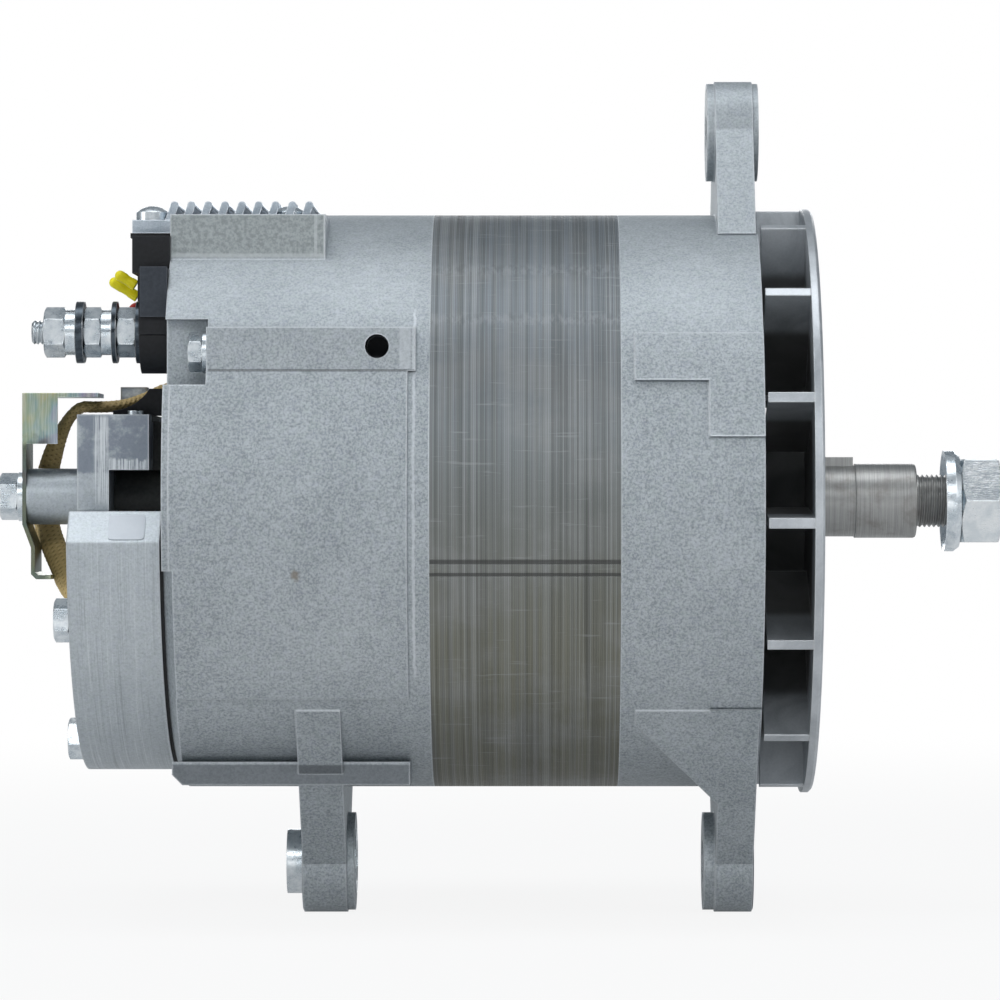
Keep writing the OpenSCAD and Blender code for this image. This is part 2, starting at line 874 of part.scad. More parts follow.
// Curved window through an end web that starts at x
module window(x, r0, w, turn) {
    rotate([0, 90, 0]) translate([0, 0, x - over]) rotate_extrude(angle = turn)
        translate([r0, 0]) square([w, web_t + 2 * over]);
}

// Bare rear casting without its holes
module rear_casting() {
    difference() {
        union() {
            bar_x(rear_x0, housing_r, rear_len);
            block([rear_x0, -sink_pad_w / 2, housing_r - sink_pad_drop],
                [sink_pad_x1, sink_pad_w / 2, housing_r - sink_pad_sunk]);
            block([side_pad_x0, side_pad_y, side_pad_z0],
                [side_pad_x1, side_pad_y + side_pad_root, side_pad_z1]);
            wall_patch(rear_x0 + skin_start, stator_x0 - skin_inset,
                skin_z0, side_pad_z0 + over, skin_rise);
            bottom_ledge();
        }
        bar_x(rear_x0 + web_t, housing_in, rear_len - web_t + over);
    }
    at_through_bolts()
        bar_x(stator_x0 - bolt_boss_len, bolt_boss_r, bolt_boss_len - boss_relief);
    bar_x(rear_x0, rear_bearing_r + rear_hub_wall, rear_hub_len);
    intersection() {
        bar_x(rear_x0, housing_r - over, rear_len);
        union() {
            block([rear_x0 + over, -housing_r, side_bolt_z - recess_half_h - recess_wall],
                [rear_x0 + recess_len, side_bolt_y + recess_root,
                    side_bolt_z + recess_half_h + recess_wall]);
            block([sink_x1 - sink_rib_w / 2, -diode_room_w / 2 - over, housing_in - sink_rib_h],
                [sink_x1 + sink_rib_w / 2, diode_room_w / 2 + over, housing_in + over]);
        }
    }
    rear_ear();
}

// Flat foot along the bottom of the rear housing, with its rear corner cut off
module bottom_ledge() {
    translate([0, ledge_y, 0]) rotate([90, 0, 0]) linear_extrude(height = 2 * ledge_y)
        polygon([
            [rear_x0, ledge_z1], [stator_x0 - ledge_end, ledge_z1],
            [stator_x0 - ledge_end, ledge_z0], [rear_x0 + ledge_cut, ledge_z0],
            [rear_x0, ledge_z0 + ledge_cut]
        ]);
}

// The rear ear under the housing, with the bore for the sliding bushing
module rear_ear() {
    mirror([0, 0, 1]) difference() {
        union() {
            plate_x(rear_ear_x0, rear_ear_t)
                ear_outline(hinge_z, hinge_flare_y, hinge_flare_z);
            translate([0, 0, hinge_z])
                bar_x(rear_ear_x0 - ear_relief / 2, ear_r - ear_relief,
                    rear_ear_t + ear_boss_rise + ear_relief / 2);
        }
        bar_x(rear_ear_x0 - over, housing_in + over, rear_ear_t + 2 * over);
    }
}

module rear_housing() color("silver") difference() {
    rear_casting();
    bar_x(rear_x0 - over, rear_bearing_r + press, rb_x1 - rear_x0 + over);
    bar_x(rear_x0, rear_bearing_bore + shaft_hole_gap, shaft_hole_len);
    block([rear_x0 - over, -sink_half_w - sink_gap, sheet_z0],
        [sink_x1 + sheet_lip, sink_half_w + sink_gap, housing_r + 2 * over]);
    block([rear_x0 + web_t + over, -diode_room_w / 2, housing_r - sink_pad_drop],
        [sink_x1 - 3 * over, diode_room_w / 2, housing_r]);
    side_recess();
    at_through_bolts() bar_x(stator_x0 - bolt_hole, through_r, bolt_hole + over);
    for (p = sink_screw_places) if (p[0] > rear_x0)
        translate([p[0], p[1], sheet_z0 - sink_thread_hole])
            cylinder(r = sink_screw_r + press, h = sink_thread_hole + over);
    translate([0, 0, -hinge_z])
        bar_x(rear_ear_x0 - ear_reach, bushing_r + bushing_gap, rear_ear_t + 2 * ear_reach);
    at_cover_bolts() bar_x(rear_x0 - over, cover_thread_r, cover_thread + over);
    at_regulator_screws()
        bar_x(rear_x0 - over, regulator_screw_r + press, regulator_thread + over);
    for (a = rear_window_starts)
        rotate([a, 0, 0])
            window(rear_x0, rear_bearing_r + rear_window_gap, rear_window_w, rear_window_turn);
    rear_edge_cut();
}

// Recess of the small side bolt with its thread, and the thread in the side pad
module side_recess() {
    block([rear_x0 - over, -housing_r - 2 * over, side_bolt_z - recess_half_h],
        [side_pad_x0 - fit, side_bolt_y + recess_floor, side_bolt_z + recess_half_h]);
    translate([0, side_bolt_y, side_bolt_z])
        bar_x(side_pad_x0 - over, side_bolt_r + side_bolt_gap, side_bolt_hole + over);
    translate([side_hole_x, side_pad_y - over, side_hole_z]) rotate([-90, 0, 0])
        cylinder(r = side_hole_r, h = side_hole_len + over);
}

// Sloping cut along the bottom rear edge of the rear housing
module rear_edge_cut() {
    intersection() {
        rotate([0, 90, 0]) translate([0, 0, rear_x0]) rotate_extrude()
            polygon([
                [housing_r - edge_cut_depth, -over], [housing_r + over, -over],
                [housing_r + over, edge_cut_len * (1 + over / edge_cut_depth)],
                [housing_r - edge_cut_depth, 0]
            ]);
        block([rear_x0 - over, -housing_r - over, -housing_r - over],
            [rear_x0 + 2 * edge_cut_len, housing_r + over, edge_cut_z]);
    }
}

module stator_core() color("slategray") difference() {
    ring_x(stator_x0, stator_len, housing_r, stator_bore_r);
    around_x(slots) block([stator_x0 - over, -slot_w / 2, stator_bore_r - over],
        [front_x0 + over, slot_w / 2, slot_r]);
    at_through_bolts() bar_x(stator_x0 - over, through_r + seat, stator_len + 2 * over);
}

module stator_windings() color("darkorange") {
    wire_in = stator_bore_r + wire_inset;
    wire_out = slot_r - wire_gap;
    ring_x(stator_x0 - head_len, head_len, wire_out, wire_in);
    ring_x(front_x0, head_len, wire_out, wire_in);
    around_x(slots) block([stator_x0 - over, -slot_w / 2 + seat, wire_in + wire_gap],
        [front_x0 + over, slot_w / 2 - seat, wire_out - wire_gap]);
}

module through_bolts() color("lightgray") at_through_bolts() {
    head_x = front_x1 - bolt_pocket;
    bar_x(stator_x0 - bolt_grip, through_r - press, head_x + bolt_head_gap - stator_x0 + bolt_grip);
    hex_x(head_x, bolt_head_flats, bolt_head_h);
}

module ear_bushing() color("gainsboro") translate([0, 0, -hinge_z])
    ring_x(bushing_x0, bushing_len, bushing_r, hinge_hole_r);

// Outer race of the front bearing with its ball track
module front_bearing_outer() color("silver") difference() {
    ring_x(fb_x0, front_bearing_w, front_bearing_r, fb_outer_r);
    ball_track();
}

module front_bearing_inner() color("silver") difference() {
    ring_x(fb_x0, front_bearing_w, fb_inner_r, front_bearing_bore + press);
    ball_track();
}

// Groove in which the balls run
module ball_track() {
    translate([fb_x0 + front_bearing_w / 2, 0, 0]) rotate([0, 90, 0])
        rotate_extrude() translate([fb_pitch_r, 0]) circle(r = ball_r + roll_gap);
}

module front_bearing_balls() color("lightgray")
    around_x(balls) translate([fb_x0 + front_bearing_w / 2, 0, fb_pitch_r])
        sphere(r = ball_r);

module front_bearing_cage() color("goldenrod") difference() {
    ring_x(fb_x0 + cage_t, front_bearing_w - 2 * cage_t, fb_pitch_r + cage_t, fb_pitch_r - cage_t);
    around_x(balls) translate([fb_x0 + front_bearing_w / 2, 0, fb_pitch_r])
        sphere(r = ball_r + roll_gap);
}

module bearing_retainer() color("darkgray") difference() {
    ring_x(fb_x0 - retainer_t, retainer_t, retainer_r, fb_outer_r - retainer_inset);
    at_retainer_screws()
        bar_x(fb_x0 - retainer_t - over, retainer_hole_r, retainer_t + 2 * over);
}

module retainer_screws() color("lightgray") at_retainer_screws() {
    bar_x(fb_x0 - retainer_t - fit, retainer_shank_r, retainer_shank);
    bar_x(fb_x0 - retainer_t - retainer_head_h, retainer_head_r, retainer_head_h);
}

module rear_bearing_outer() color("silver")
    ring_x(rb_x0, rear_bearing_w, rear_bearing_r, rb_outer_r);

module rear_bearing_inner() color("silver")
    ring_x(rb_x0, rear_bearing_w, rb_inner_r, rear_bearing_bore + press);

module rear_bearing_rollers() color("lightgray") around_x(rollers)
    translate([0, 0, rb_pitch_r])
        bar_x(rb_x0 + roller_end, roller_r, rear_bearing_w - 2 * roller_end);

module rear_bearing_cage() color("goldenrod") difference() {
    ring_x(rb_x0 + roller_cage_end, rear_bearing_w - 2 * roller_cage_end,
        rb_pitch_r + roller_cage_half_t, rb_pitch_r - roller_cage_half_t);
    around_x(rollers) translate([0, 0, rb_pitch_r])
        bar_x(rb_x0 + roller_end - 2 * roll_gap, roller_r + roll_gap,
            rear_bearing_w - 2 * roller_end + 4 * roll_gap);
}

// The shaft, turned from the tail behind the slip rings to the thread
module rotor_shaft() color("silver") difference() {
    neck_x0 = rb_x0 - tail_gap;
    neck_r = rear_bearing_bore + shoulder;
    pole_x0 = rotor_x0 - pole_collar;
    collar_r = pole_seat_r + pole_collar;
    key_r = seat_r - key_relief;
    key_end = key_len + tail_gap;
    rotate([0, 90, 0]) rotate_extrude() polygon([
        [0, shaft_x0], [tail_r, shaft_x0], [tail_r, neck_x0], [rear_bearing_bore, neck_x0],
        [rear_bearing_bore, rb_x1], [neck_r, rb_x1], [neck_r, pole_x0],
        [pole_seat_r, pole_x0], [pole_seat_r, rotor_x1], [collar_r, rotor_x1],
        [collar_r, fb_x0], [front_bearing_bore, fb_x0], [front_bearing_bore, fb_x1],
        [fan_seat_r, fb_x1], [fan_seat_r, -fit], [key_r, -fit], [key_r, key_end],
        [seat_r, key_end], [seat_r, seat_len - seat_bevel], [seat_r - seat_bevel, seat_len],
        [thread_r, seat_len], [thread_r, shaft_x1 - thread_bevel],
        [thread_r - thread_bevel, shaft_x1], [0, shaft_x1]
    ]);
    block([0, -key_w / 2, seat_r - key_rise], [key_len + press, key_w / 2, seat_r + over]);
}

module shaft_key() color("dimgray")
    block([fit, -key_w / 2, seat_r - key_rise], [key_len, key_w / 2, seat_r + key_rise]);

// One pole piece disc with its claws, as seen from its own end
module pole_piece() {
    span = rotor_x1 - rotor_x0;
    claw_len = span - claw_end_gap;
    tip = claw_tip_w / 2;
    root = claw_root_w / 2 - claw_step;
    difference() {
        union() {
            plate_x(0, pole_t) intersection() {
                circle(r = rotor_r);
                union() {
                    circle(r = rotor_r - claw_t);
                    for (i = [0 : claws - 1])
                        rotate(i * 360 / claws)
                            translate([-claw_root_w / 2, 0]) square([claw_root_w, rotor_r + over]);
                }
            }
            bar_x(0, core_r, span / 2);
            around_x(claws) intersection() {
                bar_x(0, rotor_r - fit, claw_len);
                translate([0, 0, rotor_r - claw_t]) linear_extrude(height = claw_t + over)
                    polygon([[over, -root], [claw_len, -tip], [claw_len, tip], [over, root]]);
            }
        }
        bar_x(-over, pole_seat_r + press, span);
    }
}

module front_pole() color("dimgray") translate([rotor_x1, 0, 0]) mirror([1, 0, 0]) pole_piece();

module rear_pole() color("dimgray") translate([rotor_x0, 0, 0])
    rotate([180 / claws, 0, 0]) pole_piece();

module coil_bobbin() color("ivory") {
    x0 = rotor_x0 + pole_t;
    x1 = rotor_x1 - pole_t;
    ring_x(x0 + fit, x1 - x0 - 2 * fit, core_r + spool_t, core_r + fit);
    for (x = [x0 + fit, x1 - spool_t - fit])
        ring_x(x, spool_t, coil_r + spool_lip, core_r + spool_t - fit);
}

module field_coil() color("darkorange") {
    x0 = rotor_x0 + pole_t + spool_t + 2 * fit;
    x1 = rotor_x1 - pole_t - spool_t - 2 * fit;
    ring_x(x0, x1 - x0, coil_r, core_r + spool_t + fit);
}

module slip_ring_hub() color("black") ring_x(shaft_x0 + seat,
    rb_x0 - tail_gap - 2 * seat - shaft_x0, slip_hub_r, tail_r + press);

module slip_rings() color("peru") for (x = [slip_x_a, slip_x_b])
    ring_x(x - slip_w / 2, slip_w, slip_r, slip_hub_r + press);

module fan() color("gainsboro") difference() {
    union() {
        rotate([0, 90, 0]) rotate_extrude() polygon([
            [0, -fan_depth], [fan_hub_r - hub_rim_w - hub_cone_w, -fan_depth],
            [fan_hub_r - hub_rim_w, -fan_depth + hub_cone_h], [fan_hub_r, -fan_plate_t],
            [fan_r, -fan_plate_t], [fan_r, -fan_edge], [fan_r - fan_edge, 0], [0, 0]
        ]);
        around_x(blades, 90 + blade_turn) intersection() {
            block([-fan_depth, -blade_t / 2, blade_in_r], [-fan_plate_t + over, blade_t / 2, fan_r]);
            bar_x(-fan_depth - over, fan_r - blade_inset, fan_depth + over);
        }
    }
    bar_x(-fan_depth - over, fan_seat_r + press, fan_depth + 2 * over);
}

module fan_spacer() color("darkgray")
    ring_x(fb_x1, -fan_depth - fb_x1, fan_seat_r + spacer_wall, fan_seat_r + press);

// Dished washer under the shaft nut
module shaft_washer() color("gainsboro") rotate([0, 90, 0]) rotate_extrude() {
    rim = washer_dish * 0.6;
    back = washer_x1 - washer_t;
    polygon([
        [thread_r + seat, back], [washer_r - 2 * rim, back], [washer_r, back - washer_dish],
        [washer_r, washer_x1 - washer_dish], [washer_r - rim, washer_x1 - washer_dish / 5],
        [washer_r - 2.5 * rim, washer_x1], [thread_r + seat, washer_x1]
    ]);
}

module shaft_nut() color("gainsboro") difference() {
    chamfered_hex(washer_x1, nut_flats, nut_h, 90);
    bar_x(washer_x1 - over, thread_r + press, nut_h + 2 * over);
}

// Outline of the cover: a circle with a flat top and two sloping facets
module cover_outline(r, top, facet) {
    side = r - cover_flat;
    intersection() {
        circle(r = r);
        polygon([
            [-r - over, -r - over], [r + over, -r - over], [r + over, top - facet],
            [side, top - facet], [side - facet, top], [-side + facet, top],
            [-side, top - facet], [-r - over, top - facet]
        ]);
    }
}

module rear_cover() color("silver") difference() {
    union() {
        difference() {
            plate_x(cover_x0, cover_len) cover_outline(cover_r, -cover_top, cover_facet);
            plate_x(cover_x0 + cover_face_t, cover_len)
                cover_outline(cover_r - cover_wall, -cover_top - cover_roof, cover_facet);
        }
        at_cover_bolts()
            bar_x(cover_x0 + over, cover_bolt_boss_r, cover_len - over - boss_relief);
        brush_tower();
    }
    bar_x(leg_x1, slip_r + cover_shaft_gap, cover_x1 - leg_x1 + over);
    block([holder_x0 - seat, -holder_w / 2 - seat, tower_arch - over],
        [tower_x1 + over, holder_w / 2 + seat, tower_top + over]);
    block([holder_x0 - seat, -cap_w / 2 - seat, tower_top - cap_t],
        [tower_x1 + over, cap_w / 2 + seat, tower_top + over]);
    at_cap_screws() translate([0, 0, -cap_hole]) cylinder(r = cap_thread_r, h = cap_hole);
    at_cover_bolts() bar_x(cover_x0 - over, cover_bolt_hole_r, cover_len + 2 * over);
    translate([0, 0, boss_z])
        bar_x(bracket_x1 - over, bracket_bolt_r + press, boss_thread + over);
}

// The tower with its arch over the shaft, the bracket's screw boss and the far lug
module brush_tower() {
    half = tower_w / 2;
    block([tower_x0, -half, -cover_top - fit], [leg_x1, half, tower_top]);
    block([tower_x0, -half, tower_arch], [tower_x1, half, tower_top]);
    block([leg_x1 - fit, holder_w / 2 + leg_gap, -cover_top - fit],
        [tower_x1, half, tower_arch + fit]);
    translate([0, 0, boss_z]) bar_x(bracket_x1, boss_r, tower_x0 - bracket_x1 + fit);
    block([lug_x0, half - lug_t, tower_top - fit], [lug_x0 + lug_t, half, tower_top + lug_h]);
}

module cover_gasket() color("black") difference() {
    plate_x(cover_x1, gasket_t) difference() {
        cover_outline(cover_r - cover_flat, -cover_top - cover_flat, cover_facet);
        cover_outline(cover_r - cover_wall, -cover_top - cover_roof, cover_facet);
    }
    bar_x(cover_x1 - over, slip_r + cover_shaft_gap, gasket_t + 2 * over);
    at_cover_bolts() bar_x(cover_x1 - over, cover_bolt_hole_r, gasket_t + 2 * over);
}

module cover_bolts() color("gainsboro") at_cover_bolts() {
    chamfered_hex(cover_x0 - cover_head_h, cover_head_flats, cover_head_h);
    bar_x(cover_x0 - fit, cover_bolt_r,
        cover_len + gasket_t + cover_thread - cover_bolt_spare);
}

// Block that guides the brushes, with its neck to the wall and a shroud over the slip rings
module brush_holder() color("dimgray") difference() {
    union() {
        block([holder_x0, -holder_w / 2, tower_arch], [holder_x1, holder_w / 2, tower_top - cap_t]);
        translate([0, 0, tower_top - holder_neck_drop])
            bar_x(tower_x1 + shroud_gap, holder_neck_r, cover_x1 - tower_x1 - 2 * shroud_gap);
        intersection() {
            ring_x(leg_x1 + seat, cover_x1 - leg_x1 - 2 * seat, shroud_r, slip_r + shroud_gap);
            block([leg_x1, -shroud_r, -cover_top + seat], [cover_x1, shroud_r, shroud_r]);
        }
    }
    slot_half_w = brush_w / 2 + brush_gap;
    slot_half_d = brush_d / 2 + brush_gap;
    for (x = [slip_x_a, slip_x_b])
        block([x - slot_half_w, -slot_half_d, slip_r / 2],
            [x + slot_half_w, slot_half_d, tower_top - cap_t + over]);
}

// One carbon brush, hollowed below to the curve of its slip ring
module brush(x) {
    color("black") difference() {
        block([x - brush_w / 2, -brush_d / 2, slip_r - brush_skirt],
            [x + brush_w / 2, brush_d / 2, brush_z0 + brush_len]);
        bar_x(x - brush_w, slip_r + brush_ring_gap, 2 * brush_w);
    }
}

module brush_front() brush(slip_x_b);

module brush_rear() brush(slip_x_a);

// One coil spring between its brush and the cap
module brush_spring(x) {
    z0 = brush_z0 + brush_len + spring_wire_r + fit;
    z1 = tower_top - cap_t - spring_wire_r - fit;
    steps = spring_steps * spring_turns;
    path = [
        for (i = [0 : steps])
            let (a = 360 * i / spring_steps)
            [x + spring_r * cos(a), spring_r * sin(a), z0 + (z1 - z0) * i / steps]
    ];
    color("silver") tube_along(path, spring_wire_r, 6);
}

module brush_spring_front() brush_spring(slip_x_b);

module brush_spring_rear() brush_spring(slip_x_a);

module brush_cap() color("dimgray") difference() {
    block([holder_x0, -cap_w / 2, tower_top - cap_t], [tower_x1, cap_w / 2, tower_top]);
    at_cap_screws() translate([0, 0, -cap_hole]) cylinder(r = cap_hole_r, h = cap_hole + over);
}

// Rubber boot that leads the brush wires from the cap to the rear wall
module lead_boot() color("black")
    translate([0, boot_y1, 0]) rotate([90, 0, 0]) linear_extrude(height = boot_y1 - boot_y0)
        difference() {
            polygon([
                [boot_x0, tower_top], [rear_x0 - fit, tower_top],
                [rear_x0 - fit, tower_top + boot_h], [boot_x0, tower_top + boot_h]
            ]);
            translate([boot_hollow_x, tower_top + boot_h + boot_hollow_rise])
                circle(r = boot_hollow_r);
        }

module brush_cap_screws() color("gainsboro") at_cap_screws() {
    translate([0, 0, -cap_screw_len]) cylinder(r = cap_screw_r, h = cap_screw_len + fit);
    cylinder(r = cap_head_r, h = cap_head_h);
}

// Finned plate that cools the diodes
module heat_sink() color("lightsteelblue") difference() {
    union() {
        block([sink_x0, -sink_half_w, sink_z0], [sink_x1, sink_half_w, sink_z1]);
        for (i = [0 : fins - 1])
            translate([fin_x0 + i * fin_pitch, sink_half_w - fin_inset, sink_z1])
                rotate([90, 0, 0]) linear_extrude(height = 2 * (sink_half_w - fin_inset)) fin();
    }
    for (p = diode_places)
        translate([p[0], p[1], sink_z0 - over]) cylinder(r = diode_r, h = diode_up + over + 2 * fit);
    for (p = sink_screw_places) {
        translate([p[0], p[1], sink_z0 - over]) cylinder(r = sink_hole_r, h = sink_t + fin_h);
        translate([p[0], p[1], sink_z1]) cylinder(r = sink_head_r + sink_head_gap, h = fin_h + over);
    }
}

// Leaning outline of one fin with its rounded top
module fin() {
    h = fin_h - fin_t / 2;
    polygon([[0, -fit], [fin_t, -fit], [fin_t + fin_lean, h], [fin_lean, h]]);
    translate([fin_lean + fin_t / 2, h]) circle(r = fin_t / 2);
}

module insulator_sheet() color("black") difference() {
    block([sink_x0 - sheet_lip, -sink_half_w - sheet_lip, sheet_z0],
        [sink_x1, sink_half_w + sheet_lip, sink_z0]);
    for (p = diode_places)
        translate([p[0], p[1], sheet_z0 - over])
            cylinder(r = diode_r + sheet_hole_gap, h = sheet_t + 2 * over);
    for (p = sink_screw_places)
        translate([p[0], p[1], sheet_z0 - over]) cylinder(r = sink_hole_r, h = sheet_t + 2 * over);
}

module diodes() color("silver") for (p = diode_places) translate([p[0], p[1], sink_z0]) {
    translate([0, 0, -diode_down]) cylinder(r = diode_r - press, h = diode_down + diode_up);
    translate([0, 0, -diode_down - diode_pin]) cylinder(r = diode_pin_r, h = diode_pin + fit);
}

// Domed screws that clamp the sink, with their shanks in the casting or the block
module sink_screws() color("gainsboro") for (p = sink_screw_places)
    translate([p[0], p[1], sink_z1]) {
        translate([0, 0, sheet_z0 - sink_z1 - sink_thread])
            cylinder(r = sink_screw_r, h = sink_z1 - sheet_z0 + sink_thread + fit);
        cylinder(r = sink_head_r, h = sink_head_h);
        intersection() {
            translate([0, 0, sink_head_h - sink_dome_drop]) sphere(r = sink_dome_r);
            translate([0, 0, sink_head_h - fit]) cylinder(r = sink_head_r, h = sink_dome_r);
        }
    }

// Moulded block that carries the sink's rear edge and the output stud
module terminal_block() color("black") difference() {
    back = rear_x0 - fit;
    union() {
        block([block_x0, block_y0, sheet_z0 - block_drop], [back, block_y1, sheet_z0]);
        block([stud_face_x, cheek_y0, cheek_z0], [back, cheek_y1, cheek_z1]);
        on_stud() bar_x(stud_face_x, block_boss_r, back - stud_face_x);
        block([block_x0, cheek_y1 - fit, web_z0], [back, web_y1, cheek_z1]);
    }
    on_stud() bar_x(block_x0 - over, stud_r + press, block_t + 2 * over);
    for (p = sink_screw_places) if (p[0] < rear_x0)
        translate([p[0], p[1], sheet_z0 - sink_thread_hole])
            cylinder(r = sink_screw_r + press, h = sink_thread_hole + over);
}

module terminal_panel() color("#303438")
    block([stud_face_x + panel_inset, panel_y0, panel_z0],
        [rear_x0 - seat, cheek_y0 - fit, panel_z1]);

module on_stud() {
    translate([0, -stud_y, stud_z]) children();
}

module output_stud() color("silver") on_stud() {
    end = rear_x0 - fit - seat;
    rotate([0, 90, 0]) rotate_extrude() polygon([
        [0, stud_x0], [stud_tip_r - stud_bevel, stud_x0], [stud_tip_r, stud_x0 + stud_bevel],
        [stud_tip_r, nut1_x - seat], [stud_r, nut1_x + seat], [stud_r, end], [0, end]
    ]);
}

module stud_nuts() color("gainsboro") on_stud()
    for (s = [[nut1_x, nut1_h], [nut2_x, nut2_h], [nut3_x, nut3_h]])
        difference() {
            chamfered_hex(s[0], stud_nut_flats, s[1]);
            bar_x(s[0] - over, stud_r + press, s[1] + 2 * over);
        }

module stud_lock_washers() color("silver") on_stud()
    for (x = [nut1_x + nut1_h, nut2_x + nut2_h])
        difference() {
            ring_x(x, lock_t, lock_r, stud_r + seat);
            rotate([lock_turn, 0, 0])
                block([x - over, -lock_split / 2, 0], [x + lock_t + over, lock_split / 2, lock_r + over]);
        }

module stud_flat_washers() color("#404448") on_stud()
    for (s = [[nut2_x - washer1_t, washer1_t], [nut3_x - washer2_t, washer2_t],
            [nut3_x + nut3_h, washer3_t]])
        ring_x(s[0], s[1], stud_washer_r, stud_r + seat);

// Two insulated push-on terminals on the block
module yellow_terminals() color("gold") difference() {
    for (p = yellow_places)
        translate([block_x0, p[0], p[1]]) rotate([0, yellow_slant + 90, 0]) rotate_extrude()
            polygon([
                [0, -p[2]], [yellow_r - yellow_bevel, -p[2]], [yellow_r, yellow_bevel - p[2]],
                [yellow_r, 2 * yellow_r], [0, 2 * yellow_r]
            ]);
    block([block_x0, block_y0, cheek_z0], [rear_x0, block_y1, sink_z1]);
}

module red_wire() color("red") tube_along(smooth(red_route, 4), red_r, 8);

module braided_sleeve() color("darkgoldenrod") tube_along(smooth(sleeve_route, 5), sleeve_r, 10);

// Bent sheet bracket: a flange over the tower, a long leg and a curled foot
module bracket() color("darkkhaki") difference() {
    t = bracket_t;
    flange_x1 = tower_x0 + bracket_flange;
    leg_x = bracket_x0 + bracket_slant;
    foot_x1 = bracket_x0 + foot_x;
    union() {
        translate([0, bracket_y0 + bracket_w, 0]) rotate([90, 0, 0])
            linear_extrude(height = bracket_w) polygon([
                [flange_x1, bracket_z1], [bracket_x0, bracket_z1], [bracket_x0, slant_z1],
                [leg_x, slant_z0], [leg_x, bracket_z0 + foot_bend],
                [leg_x + foot_bend, bracket_z0], [foot_x1, bracket_z0],
                [foot_x1, bracket_z0 + t], [leg_x + foot_bend + t / 2, bracket_z0 + t],
                [leg_x + t, bracket_z0 + foot_bend + t / 2], [leg_x + t, slant_z0 + seat],
                [bracket_x1, slant_z1 + seat], [bracket_x1, bracket_z1 - t],
                [flange_x1, bracket_z1 - t]
            ]);
        block([bracket_x0, bracket_y0, side_plate_z],
            [bracket_x1 + side_plate_x, bracket_y0 + t, bracket_z1]);
    }
    translate([0, 0, boss_z]) bar_x(bracket_x0 - over, bracket_bolt_r + seat, t + 2 * over);
}

module bracket_washer() color("gainsboro") translate([0, 0, boss_z])
    ring_x(bracket_x0 - bolt_washer_t, bolt_washer_t, bolt_washer_r, bracket_bolt_r + seat);

module bracket_bolt() color("gainsboro") translate([0, 0, boss_z]) {
    head_x = bracket_x0 - bolt_washer_t;
    chamfered_hex(head_x - bracket_head_h, bracket_head_flats, bracket_head_h);
    bar_x(head_x - fit, bracket_bolt_r, bolt_washer_t + bracket_t + bracket_grip);
}

module side_bolt() color("gainsboro") translate([0, side_bolt_y, side_bolt_z]) {
    head_x = side_pad_x0 - fit - side_washer_t - side_head_h;
    chamfered_hex(head_x, side_head_flats, side_head_h);
    bar_x(side_pad_x0 - side_shank, side_bolt_r, side_shank + side_bolt_grip);
}

module side_bolt_washer() color("gainsboro") translate([0, side_bolt_y, side_bolt_z])
    ring_x(side_pad_x0 - fit - side_washer_t, side_washer_t, side_washer_r, side_bolt_r + seat);

// Blank label on the near sloping facet of the cover
module label_plate() color("white")
    translate([
        label_x0, -cover_r + cover_flat + cover_facet / 2, -cover_top - cover_facet / 2
    ])
        rotate([45, 0, 0]) translate([0, -label_w / 2, label_gap])
            cube([label_len, label_w, label_t]);

// Moulded regulator on the rear wall, with cooling ribs on its back
module regulator() color("#25282b") difference() {
    back = rear_x0 - regulator_t;
    union() {
        block([back, regulator_y0, regulator_z0], [rear_x0 - fit, regulator_y1, regulator_z1]);
        for (i = [0 : regulator_ribs - 1])
            block([back - rib_h, rib_y0 + i * rib_step, regulator_z0 + rib_inset],
                [back + fit, rib_y0 + i * rib_step + rib_w, regulator_z1 - rib_inset]);
    }
    at_regulator_screws() bar_x(back - rib_h - over, regulator_screw_r + regulator_hole_gap,
        regulator_t + rib_h + 2 * over);
}

module regulator_screws() color("gainsboro") at_regulator_screws() {
    head_x = rear_x0 - regulator_t - rib_h;
    bar_x(head_x - regulator_head_gap - fit, regulator_screw_r,
        regulator_t + rib_h + regulator_grip);
    bar_x(head_x - regulator_head_gap - regulator_head_h, regulator_head_r, regulator_head_h);
}

front_housing();
rear_housing();
stator_core();
stator_windings();
through_bolts();
ear_bushing();
front_bearing_outer();
front_bearing_inner();
front_bearing_balls();
front_bearing_cage();
bearing_retainer();
retainer_screws();
rear_bearing_outer();
rear_bearing_inner();
rear_bearing_rollers();
rear_bearing_cage();
rotor_shaft();
front_pole();
rear_pole();
field_coil();
coil_bobbin();
slip_ring_hub();
slip_rings();
fan();
fan_spacer();
shaft_key();
shaft_washer();
shaft_nut();
rear_cover();
cover_gasket();
cover_bolts();
brush_holder();
brush_front();
brush_rear();
brush_spring_front();
brush_spring_rear();
brush_cap();
brush_cap_screws();
lead_boot();
heat_sink();
insulator_sheet();
diodes();
sink_screws();
terminal_block();
terminal_panel();
output_stud();
stud_nuts();
stud_lock_washers();
stud_flat_washers();
yellow_terminals();
red_wire();
braided_sleeve();
bracket();
bracket_bolt();
bracket_washer();
side_bolt();
side_bolt_washer();
label_plate();
regulator();
regulator_screws();
